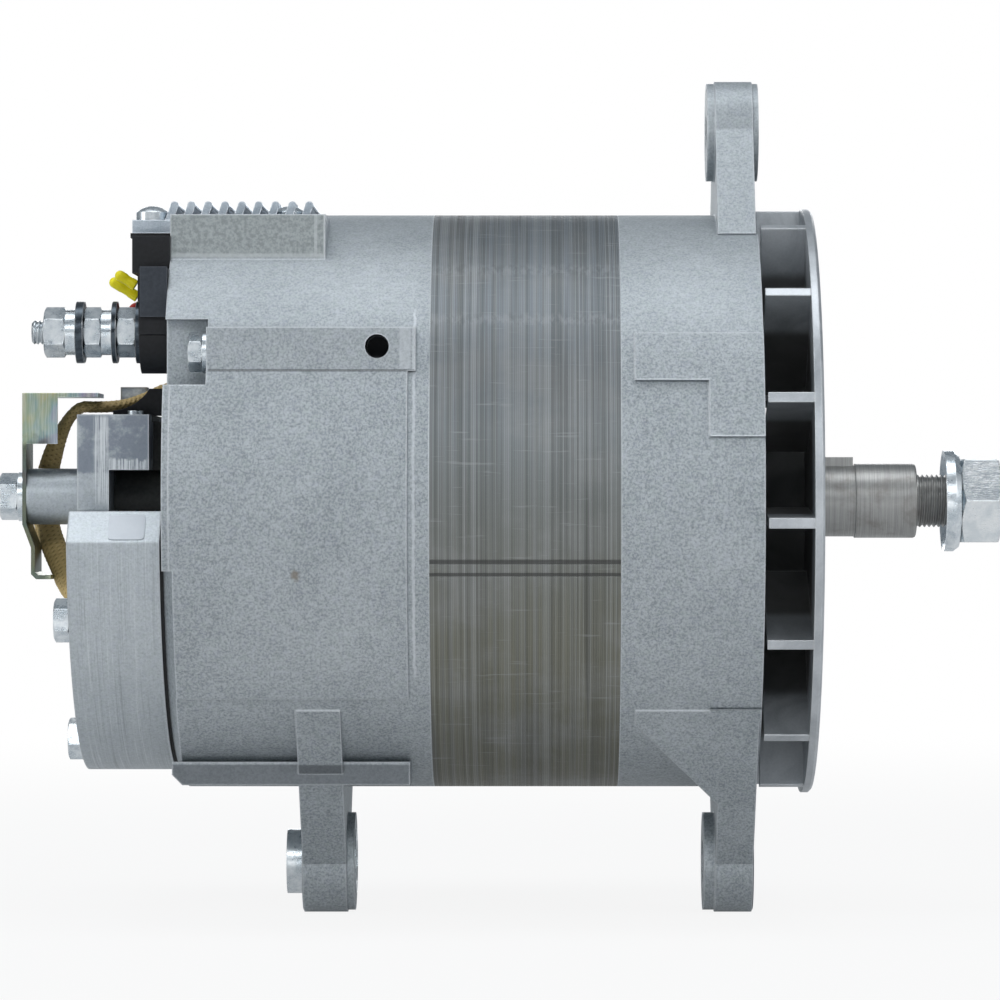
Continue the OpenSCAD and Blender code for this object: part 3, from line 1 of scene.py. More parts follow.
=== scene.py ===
import math
import bpy
import numpy as np
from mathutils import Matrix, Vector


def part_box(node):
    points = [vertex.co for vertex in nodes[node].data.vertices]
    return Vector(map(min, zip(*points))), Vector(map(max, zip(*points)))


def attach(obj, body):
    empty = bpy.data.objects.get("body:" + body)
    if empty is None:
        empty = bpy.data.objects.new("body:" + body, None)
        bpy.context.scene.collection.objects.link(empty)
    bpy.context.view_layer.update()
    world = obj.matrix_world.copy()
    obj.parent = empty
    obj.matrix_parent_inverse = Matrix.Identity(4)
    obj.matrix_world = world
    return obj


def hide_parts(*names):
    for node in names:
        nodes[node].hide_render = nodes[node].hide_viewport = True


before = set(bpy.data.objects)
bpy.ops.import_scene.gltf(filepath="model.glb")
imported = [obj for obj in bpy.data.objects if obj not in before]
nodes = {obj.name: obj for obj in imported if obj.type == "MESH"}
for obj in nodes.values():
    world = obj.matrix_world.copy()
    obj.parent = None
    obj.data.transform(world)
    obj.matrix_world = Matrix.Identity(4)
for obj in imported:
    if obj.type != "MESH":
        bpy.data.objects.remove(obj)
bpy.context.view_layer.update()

# The photographer's table: a pale floor under the two hinge ears, a long lens that looks
# straight along the Y axis at the side of the alternator, and large soft lamps. The white
# behind the object is only seen by the camera and by mirrors; it adds no light.
CAMERA_PLACE = (-0.0807, -1.5, 0.0)
LENS = 180.0
SHIFT = (-0.04, 0.0008)
FLOOR_Z, FLOOR_HALF = -0.1232, 90

camera_data = bpy.data.cameras.new("side_camera")
camera_data.lens = LENS
camera_data.sensor_width = 36.0
camera_data.shift_x, camera_data.shift_y = SHIFT
camera_data.clip_start = 0.05
camera = bpy.data.objects.new("side_camera", camera_data)
camera.location = CAMERA_PLACE
camera.rotation_euler = (math.radians(90), 0, 0)
bpy.context.scene.collection.objects.link(camera)
bpy.context.scene.camera = camera
bpy.context.scene.view_settings.view_transform = "Standard"


def soft_lamp(name, place, aim, size, watts, tint=(1, 1, 1)):
    """A square soft box at place that faces the point aim."""
    data = bpy.data.lights.new(name, "AREA")
    data.shape = "RECTANGLE"
    data.size, data.size_y = size
    data.energy = watts
    data.color = tint
    lamp = bpy.data.objects.new(name, data)
    lamp.location = place
    turn = (np.array(aim) - np.array(place)) / np.linalg.norm(np.array(aim) - np.array(place))
    yaw = math.atan2(turn[0], turn[1])
    lamp.rotation_euler = (math.acos(-turn[2]), 0, -yaw)
    bpy.context.scene.collection.objects.link(lamp)


soft_lamp("key_lamp", (-0.12, -0.18, 1.5), (-0.1, 0, 0), (1.6, 0.7), 10.5, (0.96, 0.98, 1.0))
soft_lamp("front_lamp", (-0.1, -1.7, 0.85), (-0.1, 0, 0), (1.5, 0.30), 6.4, (0.97, 0.99, 1.0))
soft_lamp("low_lamp", (-0.1, -0.9, -0.11), (-0.1, 0, -0.08), (1.4, 0.10), 1.15)
soft_lamp("fan_lamp", (1.15, -0.6, 0.45), (-0.05, 0, 0), (0.5, 0.8), 5)
soft_lamp("rear_lamp", (-1.35, -0.5, 0.5), (-0.15, 0, 0), (0.5, 0.8), 5)
soft_lamp("back_lamp", (-0.1, 1.7, 0.40), (-0.1, 0, 0), (1.5, 0.4), 7)

world = bpy.data.worlds.new("studio")
bpy.context.scene.world = world
world.use_nodes = True
world.node_tree.nodes.clear()


class Wire:
    """A socket in a node tree. Arithmetic on wires and numbers adds Math nodes."""

    def __init__(self, bench, socket):
        self.bench, self.socket = bench, socket

    def _math(self, operation, *values, clamp=False):
        return self.bench.add("ShaderNodeMath", {"operation": operation, "use_clamp": clamp},
                              dict(enumerate(values)))

    def __add__(self, other):
        return self._math("ADD", self, other)

    def __radd__(self, other):
        return self._math("ADD", other, self)

    def __sub__(self, other):
        return self._math("SUBTRACT", self, other)

    def __rsub__(self, other):
        return self._math("SUBTRACT", other, self)

    def __mul__(self, other):
        return self._math("MULTIPLY", self, other)

    def __rmul__(self, other):
        return self._math("MULTIPLY", other, self)

    def __truediv__(self, other):
        return self._math("DIVIDE", self, other)

    def __rtruediv__(self, other):
        return self._math("DIVIDE", other, self)

    def either(self, other):
        return self._math("MAXIMUM", self, other)

    def size(self):
        return self._math("ABSOLUTE", self)

    def raised(self, power):
        return self._math("POWER", self, power)

    def limited(self):
        return self._math("ADD", self, 0.0, clamp=True)

    def ramp(self, low, high):
        """0 below low and 1 above high, smooth between; low may be over high."""
        flip = low > high
        part = self.bench.add("ShaderNodeMapRange", {"interpolation_type": "SMOOTHSTEP"},
                              {0: self, 1: min(low, high), 2: max(low, high), 3: 0.0, 4: 1.0})
        return 1.0 - part if flip else part


class Bench:
    """One node tree in the making. add() puts in a node and gives its output as a Wire."""

    def __init__(self, tree):
        self.tree = tree
        tree.nodes.clear()

    def add(self, kind, settings=None, values=None, out=0):
        made = self.tree.nodes.new(kind)
        for key, value in (settings or {}).items():
            if key == "stops":
                ramp = made.color_ramp
                while len(ramp.elements) < len(value):
                    ramp.elements.new(1.0)
                for element, (at, colour) in zip(ramp.elements, value):
                    element.position, element.color = at, (*colour, 1.0)
            else:
                setattr(made, key, value)
        for key, value in (values or {}).items():
            socket = made.inputs[key]
            if isinstance(value, Wire):
                self.tree.links.new(value.socket, socket)
            elif isinstance(value, tuple) and len(value) == 3 and socket.type == "RGBA":
                socket.default_value = (*value, 1.0)
            else:
                socket.default_value = value
        return Wire(self, made.outputs[out]) if made.outputs else made

    def mix(self, share, one, two):
        """Colour one where share is 0 and colour two where it is 1."""
        return self.add("ShaderNodeMix", {"data_type": "RGBA"},
                        {0: share, 6: one, 7: two}, out=2)

    def here(self):
        """The shaded point in the part's own frame, in metres."""
        return self.add("ShaderNodeTexCoord", out="Object")

    def place(self):
        """The same point, with its X, Y and Z."""
        point = self.here()
        return [point] + [self.add("ShaderNodeSeparateXYZ", None, {0: point}, out=i)
                          for i in range(3)]

    def noise(self, point, scale, detail, roughness, stretch=None, twist=0.0):
        """Soft random values round 0.5. stretch scales the point for grain in one direction."""
        if stretch:
            point = self.add("ShaderNodeVectorMath", {"operation": "MULTIPLY"},
                             {0: point, 1: stretch})
        return self.add("ShaderNodeTexNoise", None, {
            "Vector": point, "Scale": scale, "Detail": detail, "Roughness": roughness,
            "Distortion": twist})

    def bump(self, height, depth, strength, under=None):
        """A Bump node: depth is how tall a height of 1 is, in metres."""
        values = {"Height": height, "Distance": depth, "Strength": strength}
        if under is not None:
            values["Normal"] = under
        return self.add("ShaderNodeBump", None, values)


white = Bench(world.node_tree)
rays = {name: white.add("ShaderNodeLightPath", out=name)
        for name in ("Is Camera Ray", "Is Transmission Ray")}
studio = white.add("ShaderNodeBackground", None, {"Color": (0.80, 0.88, 0.95), "Strength": 0.31})
seen = white.add("ShaderNodeBackground", None, {"Color": (1.0, 1.0, 1.0), "Strength": 1.0})
white.add("ShaderNodeOutputWorld", None, {0: white.add("ShaderNodeMixShader", None, {
    0: rays["Is Camera Ray"].either(rays["Is Transmission Ray"]), 1: studio, 2: seen})})

floor_mesh = bpy.data.meshes.new("floor")
floor_mesh.from_pydata([(across * FLOOR_HALF, away * FLOOR_HALF, FLOOR_Z)
                        for across, away in ((-1, -1), (1, -1), (1, 1), (-1, 1))],
                       [], [(0, 1, 2, 3)])
floor = bpy.data.objects.new("floor", floor_mesh)
bpy.context.scene.collection.objects.link(floor)
floor_mesh.materials.append(bpy.data.materials.new("pale_floor"))
floor_mesh.materials[0].use_nodes = True
pale = Bench(floor_mesh.materials[0].node_tree)
seen_by = {name: pale.add("ShaderNodeLightPath", out=name)
           for name in ("Is Camera Ray", "Is Glossy Ray", "Is Transmission Ray")}
point, x, y, _ = pale.place()
away = pale.add("ShaderNodeVectorMath", {"operation": "LENGTH"}, {0: point}, out="Value")
away = away.ramp(0.3, 1.2)
# Painted reflection: near the object the floor glows brighter in mirrors than farther off.
near = (x + 0.125).size().ramp(0.12, 0.09) * (y + 0.16).size().ramp(0.11, 0.05)
seen_share = (seen_by["Is Camera Ray"] * (0.88 + away * 0.12)).either(
    seen_by["Is Glossy Ray"] * (0.24 + near * 0.44))
pale.add("ShaderNodeOutputMaterial", None, {0: pale.add("ShaderNodeMixShader", None, {
    0: seen_share.either(seen_by["Is Transmission Ray"] * 0.9),
    1: pale.add("ShaderNodeBsdfDiffuse", None, {"Color": (0.62, 0.63, 0.64)}),
    2: pale.add("ShaderNodeEmission", None, {"Color": (1.0, 1.0, 1.0), "Strength": 1.0})})})


# The two housings are sand blasted aluminium castings, bolted over the ends of the stator.
# They carry the hinge ears below and the adjusting ear on top. Only their faces and bores
# are machined. The rough skin is mottled grey, with a few rust and oil marks from handling,
# and a painted highlight along its sharp edges.
CAST_LIGHT = (0.500, 0.535, 0.560)
CAST_DARK = (0.265, 0.295, 0.315)
CAST_EDGE = 0.0009
PAINTED_EDGE_HIGHLIGHT, EDGE_HIGHLIGHT_SHARE = (0.78, 0.81, 0.84), 0.70
CALM_Z = (0.035, 0.060)
PAD_Y, PAD_Z, PAD_X = (0.0484, 0.0488), (0.0704, 0.0710), (-0.1428, -0.1431)
PAD_LINE_Z, PAD_LINES_X = (0.0722, 0.0714), (-0.1458, -0.1433)
BEAD_X, BEAD_LOW_Z, BEAD_HIGH_Z = -0.1166, (-0.052, -0.049), (0.056, 0.053)
SIDE_PAD_Y, SIDE_PAD_X, SIDE_PAD_LOW_Z = (0.060, 0.066), (-0.1755, -0.1748), 0.0371
CHAMFER_X, CHAMFER_Z = -0.1191, 0.0435
FOOT_Z, FOOT_X, FOOT_NEAR_Y, FOOT_FAR_Y = (-0.0766, -0.0772), (-0.1183, -0.1187), -0.055, -0.041
BORE_X, BORE_Z, BORE_R, BORE_Y = -0.1271, 0.044, (0.00350, 0.00335), (-0.0777, -0.0772)


class Finish(Bench):
    """A Bench for one named material. skin() closes it with its surface."""

    def __init__(self, name):
        self.material = bpy.data.materials.new(name)
        self.material.use_nodes = True
        super().__init__(self.material.node_tree)

    def round_edges(self, radius):
        """Normals that bend over sharp edges, and a mask that is 1 on those edges, used for
        painted edge highlights.
        """
        bent = self.add("ShaderNodeBevel", {"samples": 6}, {"Radius": radius})
        straight = self.add("ShaderNodeNewGeometry", out="Normal")
        same = self.add("ShaderNodeVectorMath", {"operation": "DOT_PRODUCT"},
                        {0: bent, 1: straight}, out="Value")
        return bent, (1.0 - same).ramp(0.004, 0.12)

    def skin(self, colour, roughness, metallic, normal, **fixed):
        """The closing surface. fixed holds other values, with _ for a space in their names."""
        values = {"Base Color": colour, "Roughness": roughness, "Metallic": metallic,
                  "Normal": normal}
        for name, value in fixed.items():
            values[name.replace("_", " ")] = value
        shader = self.add("ShaderNodeBsdfPrincipled", None, values)
        self.add("ShaderNodeOutputMaterial", None, {0: shader})
        return self.material


def dress(material, *names):
    """Gives CAD nodes a finish in place of the plain one that they came with."""
    for name in names:
        for holder in nodes[name].material_slots:
            holder.material = material


def cast_skin(finish, point, light, dark, grit=1.0):
    """Mottled casting colour, its height map and the fine grit, from three sizes of noise."""
    cloud = finish.noise(point, 34.0, 4.0, 0.62)
    mottle = finish.noise(point, 330.0, 3.0, 0.68)
    speck = finish.noise(point, 1400.0, 3.0, 0.76)
    shade = (cloud.ramp(0.30, 0.72) * 0.24 + mottle.ramp(0.34, 0.66) * 0.16
             + (speck.ramp(0.38, 0.62) - 0.5) * 0.74 * grit + 0.37)
    colour = finish.mix(shade.limited(), dark, light)
    pits = speck.ramp(0.40, 0.27)
    colour = finish.mix(pits * 0.42 * grit, colour, (0.10, 0.11, 0.12))
    tint = finish.noise(point, 520.0, 2.0, 0.6)
    colour = finish.mix(tint.ramp(0.52, 0.66) * 0.16, colour, (0.40, 0.47, 0.44))
    colour = finish.mix(tint.ramp(0.46, 0.34) * 0.14, colour, (0.38, 0.40, 0.50))
    height = mottle * 0.6 + speck * 0.5 * grit
    return colour, height, speck


def upper_grit(z):
    """How strong the fine grit is: full below the shaft's height, weaker on the upper parts."""
    return 1.0 - z.ramp(*CALM_Z) * 0.35


def spot(x, y, z, where, radius, wobble):
    """A mask that is 1 in a ragged round mark at a place given in metres."""
    far = sum((a - b) * (a - b) for a, b in zip((x, y, z), where))
    return (far.raised(0.5) + (wobble - 0.5) * radius * 1.6).ramp(radius, radius * 0.45)


casting = Finish("sand_cast_aluminium")
point, _, _, z = casting.place()
colour, height, speck = cast_skin(casting, point, CAST_LIGHT, CAST_DARK, upper_grit(z))
bent, edge_highlight = casting.round_edges(CAST_EDGE)
# Painted highlight: the sharp edges are lightened.
colour = casting.mix(edge_highlight * EDGE_HIGHLIGHT_SHARE, colour, PAINTED_EDGE_HIGHLIGHT)
dress(casting.skin(colour, 0.50 + speck * 0.14, 0.72,
                   casting.bump(height, 0.00022, 0.55, bent)), "front_housing")

casting = Finish("sand_cast_aluminium_rear")
point, x, y, z = casting.place()
colour, height, speck = cast_skin(casting, point, CAST_LIGHT, CAST_DARK, upper_grit(z))
bent, edge_highlight = casting.round_edges(CAST_EDGE)
ragged = casting.noise(point, 420.0, 3.0, 0.6)
coarse = casting.noise(point, 820.0, 3.0, 0.74)
rough_pad = (y * -1.0).ramp(*PAD_Y) * z.ramp(*PAD_Z) * x.ramp(*PAD_X)
colour = casting.mix(rough_pad * 0.80, colour, casting.mix(
    coarse.ramp(0.36, 0.64), (0.265, 0.292, 0.288), (0.415, 0.446, 0.448)))
# Painted highlights: light lines along the strip and the lower edge of the rough pad.
pad_line_highlight = (x - PAD_LINES_X[0]).size().ramp(0.0006, 0.0003).either(
    (x - PAD_LINES_X[1]).size().ramp(0.0005, 0.0002))
pad_line_highlight = (pad_line_highlight * rough_pad).either(z.ramp(*PAD_LINE_Z) * rough_pad)
colour = casting.mix(pad_line_highlight * 0.5, colour, (0.60, 0.63, 0.64))
# Painted highlight: a light line along the parting bead.
bead_highlight = (x - BEAD_X + (ragged - 0.5) * 0.0012).size().ramp(0.0006, 0.0002)
bead_highlight = bead_highlight * z.ramp(*BEAD_LOW_Z) * z.ramp(*BEAD_HIGH_Z) * (y * -1.0).ramp(0.03, 0.04)
colour = casting.mix(bead_highlight * 0.55, colour, (0.68, 0.71, 0.74))
near = (y * -1.0).ramp(*SIDE_PAD_Y) * x.ramp(*SIDE_PAD_X)
# Painted shadow: a dark line under the lower edge of the side pad.
under = (z - SIDE_PAD_LOW_Z).size().ramp(0.00045, 0.00020) * near * x.ramp(-0.1158, -0.1166)
colour = casting.mix(under * 0.70, colour, (0.07, 0.075, 0.08))
# Painted highlight: a light band where the side pad's corner chamfer would be.
chamfer_highlight = (x - CHAMFER_X).size().ramp(0.0018, 0.0014)
chamfer_highlight = chamfer_highlight * (z - CHAMFER_Z).size().ramp(0.0062, 0.0056) * near
colour = casting.mix(chamfer_highlight * 0.45, colour, (0.62, 0.65, 0.68))
# Painted shade: the foot's face below its top edge is darkened.
foot_shade = z.ramp(*FOOT_Z) * x.ramp(*FOOT_X)
foot_shade = foot_shade * (y - FOOT_FAR_Y).ramp(0.0, -0.0006) * (y - FOOT_NEAR_Y).ramp(-0.001, 0.0)
colour = casting.mix(foot_shade * 0.75, colour, (0.12, 0.132, 0.145))
# Painted shade: the bore is darkened almost to black.
bore_shade = ((x - BORE_X) * (x - BORE_X) + (z - BORE_Z) * (z - BORE_Z)).raised(0.5)
bore_shade = bore_shade.ramp(*BORE_R) * y.ramp(*BORE_Y)
colour = casting.mix(bore_shade * 0.97, colour, (0.008, 0.009, 0.011))
# Painted highlight: the sharp edges are lightened.
colour = casting.mix(edge_highlight * EDGE_HIGHLIGHT_SHARE, colour, PAINTED_EDGE_HIGHLIGHT)
MARKS = [((-0.1500, -0.0826, -0.0211), 0.0022, (0.235, 0.20, 0.16), 0.75),
         ((-0.1361, -0.0758, -0.0374), 0.0018, (0.15, 0.145, 0.14), 0.7),
         ((-0.1182, -0.0731, -0.0436), 0.0007, (0.13, 0.12, 0.11), 0.9)]
for where, radius, tint, depth in MARKS:
    colour = casting.mix(spot(x, y, z, where, radius, ragged) * depth, colour, tint)
dress(casting.skin(colour, 0.50 + speck * 0.14, 0.72,
                   casting.bump(height, 0.00022, 0.55, bent)), "rear_housing")

# The stator core is a stack of about a hundred ring sheets of electrical steel, pressed
# together and held by weld seams along the outside. The sheet edges stand a little unevenly
# and are varnished, which tints them olive; two faint bands are rubbed.
SHEET_PITCH = 0.00052
RUB_BANDS_Z, SEAMS_Z = (0.0668, 0.0520), (-0.0174, -0.0210)
stack = Finish("varnished_sheet_stack")
point, x, y, z = stack.place()
sheet = (x / SHEET_PITCH).size()
which = stack.add("ShaderNodeMath", {"operation": "FLOOR"}, {0: sheet})
within = stack.add("ShaderNodeMath", {"operation": "FRACT"}, {0: sheet})
tone = stack.add("ShaderNodeTexWhiteNoise", {"noise_dimensions": "1D"}, {"W": which})
groove = (within - 0.5).size().ramp(0.30, 0.48)
bundles = stack.noise(point, 1.0, 3.0, 0.70, stretch=(820.0, 4.0, 4.0))
few = stack.noise(point, 1.0, 2.0, 0.5, stretch=(260.0, 5.0, 5.0))
worn = stack.noise(point, 1.0, 3.0, 0.7, stretch=(700.0, 260.0, 260.0))
ripple = stack.noise(point, 1.0, 1.0, 0.5, stretch=(420.0, 0.0, 0.0))
rubbed = stack.noise(point, 1.0, 3.0, 0.6, stretch=(60.0, 900.0, 900.0))
stain = stack.noise(point, 42.0, 4.0, 0.6)
colour = stack.mix(z.ramp(0.045, -0.055), (0.235, 0.262, 0.285), (0.215, 0.214, 0.172))
colour = stack.mix(stain.ramp(0.42, 0.72) * 0.55, colour, (0.335, 0.345, 0.345))
colour = stack.mix(bundles.ramp(0.40, 0.60) * 0.50, colour, (0.100, 0.104, 0.098))
colour = stack.mix(few.ramp(0.62, 0.70) * 0.50, colour, (0.075, 0.078, 0.075))
colour = stack.mix(tone.ramp(0.25, 1.0) * 0.30, colour, (0.42, 0.44, 0.44))
for at in RUB_BANDS_Z:
    rub = (z - at + (ripple - 0.5) * 0.002).size().ramp(0.0026, 0.0004)
    rub = rub * (y * -1.0).ramp(0.02, 0.04)
    colour = stack.mix(rub * worn.ramp(0.44, 0.60) * 0.20, colour, (0.46, 0.48, 0.49))
    colour = stack.mix(rub * worn.ramp(0.46, 0.34) * 0.22, colour, (0.12, 0.125, 0.13))
colour = stack.mix(groove * 0.40, colour, (0.07, 0.07, 0.065))
colour = stack.mix(rubbed.ramp(0.60, 0.72) * 0.30, colour, (0.42, 0.44, 0.44))
near = (y * -1.0).ramp(0.02, 0.06)
seam = (z - SEAMS_Z[0]).size().ramp(0.0009, 0.0004).either(
    (z - SEAMS_Z[1]).size().ramp(0.0007, 0.0003)) * near
colour = stack.mix(seam * 0.72, colour, (0.055, 0.055, 0.055))
height = groove * -0.6 + tone * 0.35 + seam * -1.4 + bundles * 0.3
dress(stack.skin(colour, 0.46 + rubbed * 0.12, 0.80, stack.bump(height, 0.00016, 0.8)),
      "stator_core")

# Inside the stator lie the copper windings, and the rotor with its coil between two forged
# poles. Enamelled copper is a deep amber, the iron is dull grey with an oil film.
enamel = Finish("enamelled_copper")
point = enamel.here()
strand = enamel.noise(point, 1.0, 2.0, 0.5, stretch=(900.0, 160.0, 160.0), twist=0.6)
colour = enamel.mix(strand.ramp(0.3, 0.7), (0.26, 0.085, 0.025), (0.52, 0.20, 0.065))
dress(enamel.skin(colour, 0.30 + strand * 0.12, 0.75, enamel.bump(strand, 0.0005, 0.6)),
      "stator_windings", "field_coil")

forging = Finish("forged_pole_iron")
point = forging.here()
scale_skin = forging.noise(point, 180.0, 4.0, 0.6)
colour = forging.mix(scale_skin.ramp(0.3, 0.7), (0.085, 0.085, 0.088), (0.19, 0.19, 0.195))
bent, edge_highlight = forging.round_edges(0.0008)
# Painted highlight: the sharp edges are lightened.
colour = forging.mix(edge_highlight * 0.5, colour, (0.36, 0.36, 0.37))
dress(forging.skin(colour, 0.42 + scale_skin * 0.2, 0.85,
                   forging.bump(scale_skin, 0.0003, 0.5, bent)), "front_pole", "rear_pole")

bobbin = Finish("glass_filled_bobbin")
point = bobbin.here()
fibre = bobbin.noise(point, 900.0, 2.0, 0.6)
dress(bobbin.skin(bobbin.mix(fibre.ramp(0.3, 0.7), (0.50, 0.45, 0.34), (0.62, 0.57, 0.46)),
                  0.55 + fibre * 0.1, 0.0, bobbin.bump(fibre, 0.0001, 0.4)), "coil_bobbin")

# The bearings have ground steel races, balls and rollers, and stamped brass cages.
ground = Finish("ground_bearing_steel")
point = ground.here()
ring_marks = ground.noise(point, 1.0, 3.0, 0.6, stretch=(9000.0, 60.0, 60.0))
colour = ground.mix(ring_marks.ramp(0.3, 0.7), (0.44, 0.45, 0.47), (0.62, 0.63, 0.65))
dress(ground.skin(colour, 0.16 + ring_marks * 0.12, 1.0, ground.bump(ring_marks, 0.00002, 0.5)),
      "front_bearing_outer", "front_bearing_inner", "front_bearing_balls",
      "rear_bearing_outer", "rear_bearing_inner", "rear_bearing_rollers")

brass = Finish("stamped_brass")
point = brass.here()
tarnish = brass.noise(point, 260.0, 3.0, 0.6)
colour = brass.mix(tarnish.ramp(0.35, 0.7), (0.64, 0.44, 0.16), (0.42, 0.27, 0.10))
dress(brass.skin(colour, 0.26 + tarnish * 0.2, 1.0, brass.bump(tarnish, 0.00005, 0.4)),
      "front_bearing_cage", "rear_bearing_cage")

# Nuts, bolts, washers and the sliding ear bushing are steel with a bright zinc plate, which
# is blue white and slightly cloudy. The large nut is smoother, the stud's washers are dark.
ZINC_LIGHT = (0.90, 0.935, 0.955)
ZINC_DARK = (0.52, 0.585, 0.635)


def zinc_plate(name, light, dark, marks=1.0, edge=0.0004, shine=0.20):
    """Cloudy bright zinc with fine scratches along the shaft and painted highlights on its edges.
    """
    zinc = Finish(name)
    point = zinc.here()
    cloud = zinc.noise(point, 240.0, 4.0, 0.62)
    fleck = zinc.noise(point, 2100.0, 2.0, 0.6)
    scratch = zinc.noise(point, 1.0, 2.0, 0.6, stretch=(400.0, 5200.0, 5200.0))
    colour = zinc.mix((cloud.ramp(0.30, 0.68) * 0.8 + fleck.ramp(0.3, 0.7) * 0.2), dark, light)
    colour = zinc.mix(cloud.ramp(0.66, 0.80) * 0.5 * marks, colour, (0.42, 0.40, 0.36))
    bent, edge_highlight = zinc.round_edges(edge)
    # Painted highlight: the sharp edges are lightened.
    colour = zinc.mix(edge_highlight * 0.5, colour, (0.93, 0.95, 0.96))
    rough = shine + cloud * 0.16 + scratch.ramp(0.5, 0.8) * 0.12
    height = cloud * 0.6 + scratch * 0.4
    return zinc.skin(colour, rough, 1.0, zinc.bump(height, 0.00010, 0.5, bent))


dress(zinc_plate("bright_zinc", ZINC_LIGHT, ZINC_DARK),
      "through_bolts", "ear_bushing", "shaft_washer", "cover_bolts", "sink_screws",
      "stud_nuts", "stud_lock_washers", "bracket_bolt", "bracket_washer", "side_bolt",
      "side_bolt_washer", "retainer_screws", "brush_cap_screws", "regulator_screws",
      "bearing_retainer")
dress(zinc_plate("large_nut_zinc", (0.97, 0.985, 0.99), (0.74, 0.79, 0.82), 0.5, 0.0007, 0.13),
      "shaft_nut")
dress(zinc_plate("dulled_zinc", (0.100, 0.120, 0.140), (0.030, 0.036, 0.044), 0.3),
      "stud_flat_washers")

# The shaft is turned from bare alloy steel: stepped for its bearings and poles, the pulley
# seat in front of the fan, and a rolled 5/8 inch thread for the nut. Fine ring marks show
# under an oil film. The key, the spacer and the springs are bare steel too.
THREAD_FROM, THREAD_TO, THREAD_CREST = 0.0318, 0.0567, 0.00790
THREAD_PITCH, THREAD_DEPTH, CREST_FLAT = 0.00141, 0.00072, 0.12
SMOOTH_ANGLE = math.radians(40)
SHAFT_COLUMNS, THREAD_ROWS = 64, 150
steel = Finish("turned_shaft_steel")
point = steel.here()
rings = steel.noise(point, 1.0, 4.0, 0.7, stretch=(5200.0, 40.0, 40.0))
film = steel.noise(point, 130.0, 4.0, 0.62)
colour = steel.mix(rings.ramp(0.3, 0.7), (0.29, 0.29, 0.285), (0.44, 0.44, 0.43))
colour = steel.mix(film.ramp(0.45, 0.75) * 0.6, colour, (0.20, 0.185, 0.165))
bent, edge_highlight = steel.round_edges(0.0004)
dress(steel.skin(colour, 0.36 + film * 0.16, 1.0, steel.bump(rings, 0.00004, 0.6, bent)),
      "rotor_shaft", "shaft_key", "fan_spacer", "brush_spring_front", "brush_spring_rear")


def grid_piece(name, grid, material, body, *stands_for):
    """A piece from a grid of points, rows by columns. Each row is closed into a ring, and the
    first and last rows are capped. Faces look outwards and are smooth up to SMOOTH_ANGLE."""
    rows, columns = grid.shape[:2]
    i, j = np.meshgrid(np.arange(rows - 1), np.arange(columns), indexing="ij")
    k, after = (j + 1) % columns, i + 1
    faces = np.stack([i * columns + j, after * columns + j, after * columns + k,
                      i * columns + k], axis=-1).reshape(-1, 4).tolist()
    faces.append(list(range(columns)))
    faces.append([(rows - 1) * columns + c for c in range(columns - 1, -1, -1)])
    mesh = bpy.data.meshes.new(name)
    mesh.from_pydata(grid.reshape(-1, 3).tolist(), [], faces)
    mesh.validate()
    made = bpy.data.objects.new(name, mesh)
    bpy.context.scene.collection.objects.link(made)
    bpy.context.view_layer.objects.active = made
    made.select_set(True)
    bpy.ops.object.mode_set(mode="EDIT")
    bpy.ops.mesh.select_all(action="SELECT")
    bpy.ops.mesh.normals_make_consistent(inside=False)
    bpy.ops.object.mode_set(mode="OBJECT")
    made.select_set(False)
    mesh.shade_smooth()
    mesh.set_sharp_from_angle(angle=SMOOTH_ANGLE)
    mesh.materials.append(material)
    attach(made, body)
    if stands_for:
        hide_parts(*stands_for)
    return made


def full_turn(columns):
    """Even angles round a circle."""
    return np.linspace(0, 2 * np.pi, columns, endpoint=False)


def lathe(profile, columns, wave=None):
    """Rings of the profile's (along, radius) pairs round the X axis. wave(along, angle) gives
    what is added to the radius, as on a thread."""
    along, radius = (np.array(column, float)[:, None] for column in zip(*profile))
    angle = full_turn(columns)[None, :]
    radius = radius + (wave(along, angle) if wave else 0.0 * angle)
    return np.stack([along + 0.0 * angle, radius * np.sin(angle), radius * np.cos(angle)], -1)


def thread_wave(start, end, pitch, depth):
    """A screw thread: a triangle wave that advances one pitch in a turn, flattened at its
    crests and roots, and faded in and out over one pitch at both ends."""
    def wave(along, angle):
        turn = (along - start) / pitch - angle / (2 * np.pi)
        tooth = np.abs((turn % 1.0) - 0.5) * 2.0
        tooth = np.clip((tooth - CREST_FLAT) / (1 - 2 * CREST_FLAT), 0.0, 1.0)
        fade = np.clip((along - start) / pitch, 0, 1) * np.clip((end - along) / pitch, 0, 1)
        return -depth * tooth * fade
    return wave


shaft_low, shaft_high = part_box("rotor_shaft")
SHAFT_STEPS = [
    (shaft_low[0], 0.0041), (shaft_low[0] + 0.0004, 0.0045), (-0.1870, 0.0045), (-0.1870, 0.0085),
    (-0.1745, 0.0085), (-0.1745, 0.0101), (-0.1126, 0.0101), (-0.1126, 0.0130),
    (-0.0602, 0.0130), (-0.0602, 0.0160), (-0.0418, 0.0160), (-0.0418, 0.0125),
    (-0.0248, 0.0125), (-0.0248, 0.0116), (-0.00005, 0.0116), (-0.00005, 0.0107),
    (0.0135, 0.0107), (0.0135, 0.0111), (0.0310, 0.0111), (0.0316, 0.0109), (0.0318, 0.0105),
    (THREAD_FROM, THREAD_CREST)]
SHAFT_STEPS += [(at, THREAD_CREST) for at in np.linspace(THREAD_FROM, 0.0561, THREAD_ROWS)[1:]]
SHAFT_STEPS += [(0.0569, 0.0072), (shaft_high[0], 0.0067)]
shaft_thread = thread_wave(THREAD_FROM, THREAD_TO, THREAD_PITCH, THREAD_DEPTH)
grid_piece("shaft_turned", lathe(SHAFT_STEPS, SHAFT_COLUMNS, shaft_thread), steel.material,
           "rotor", "rotor_shaft")

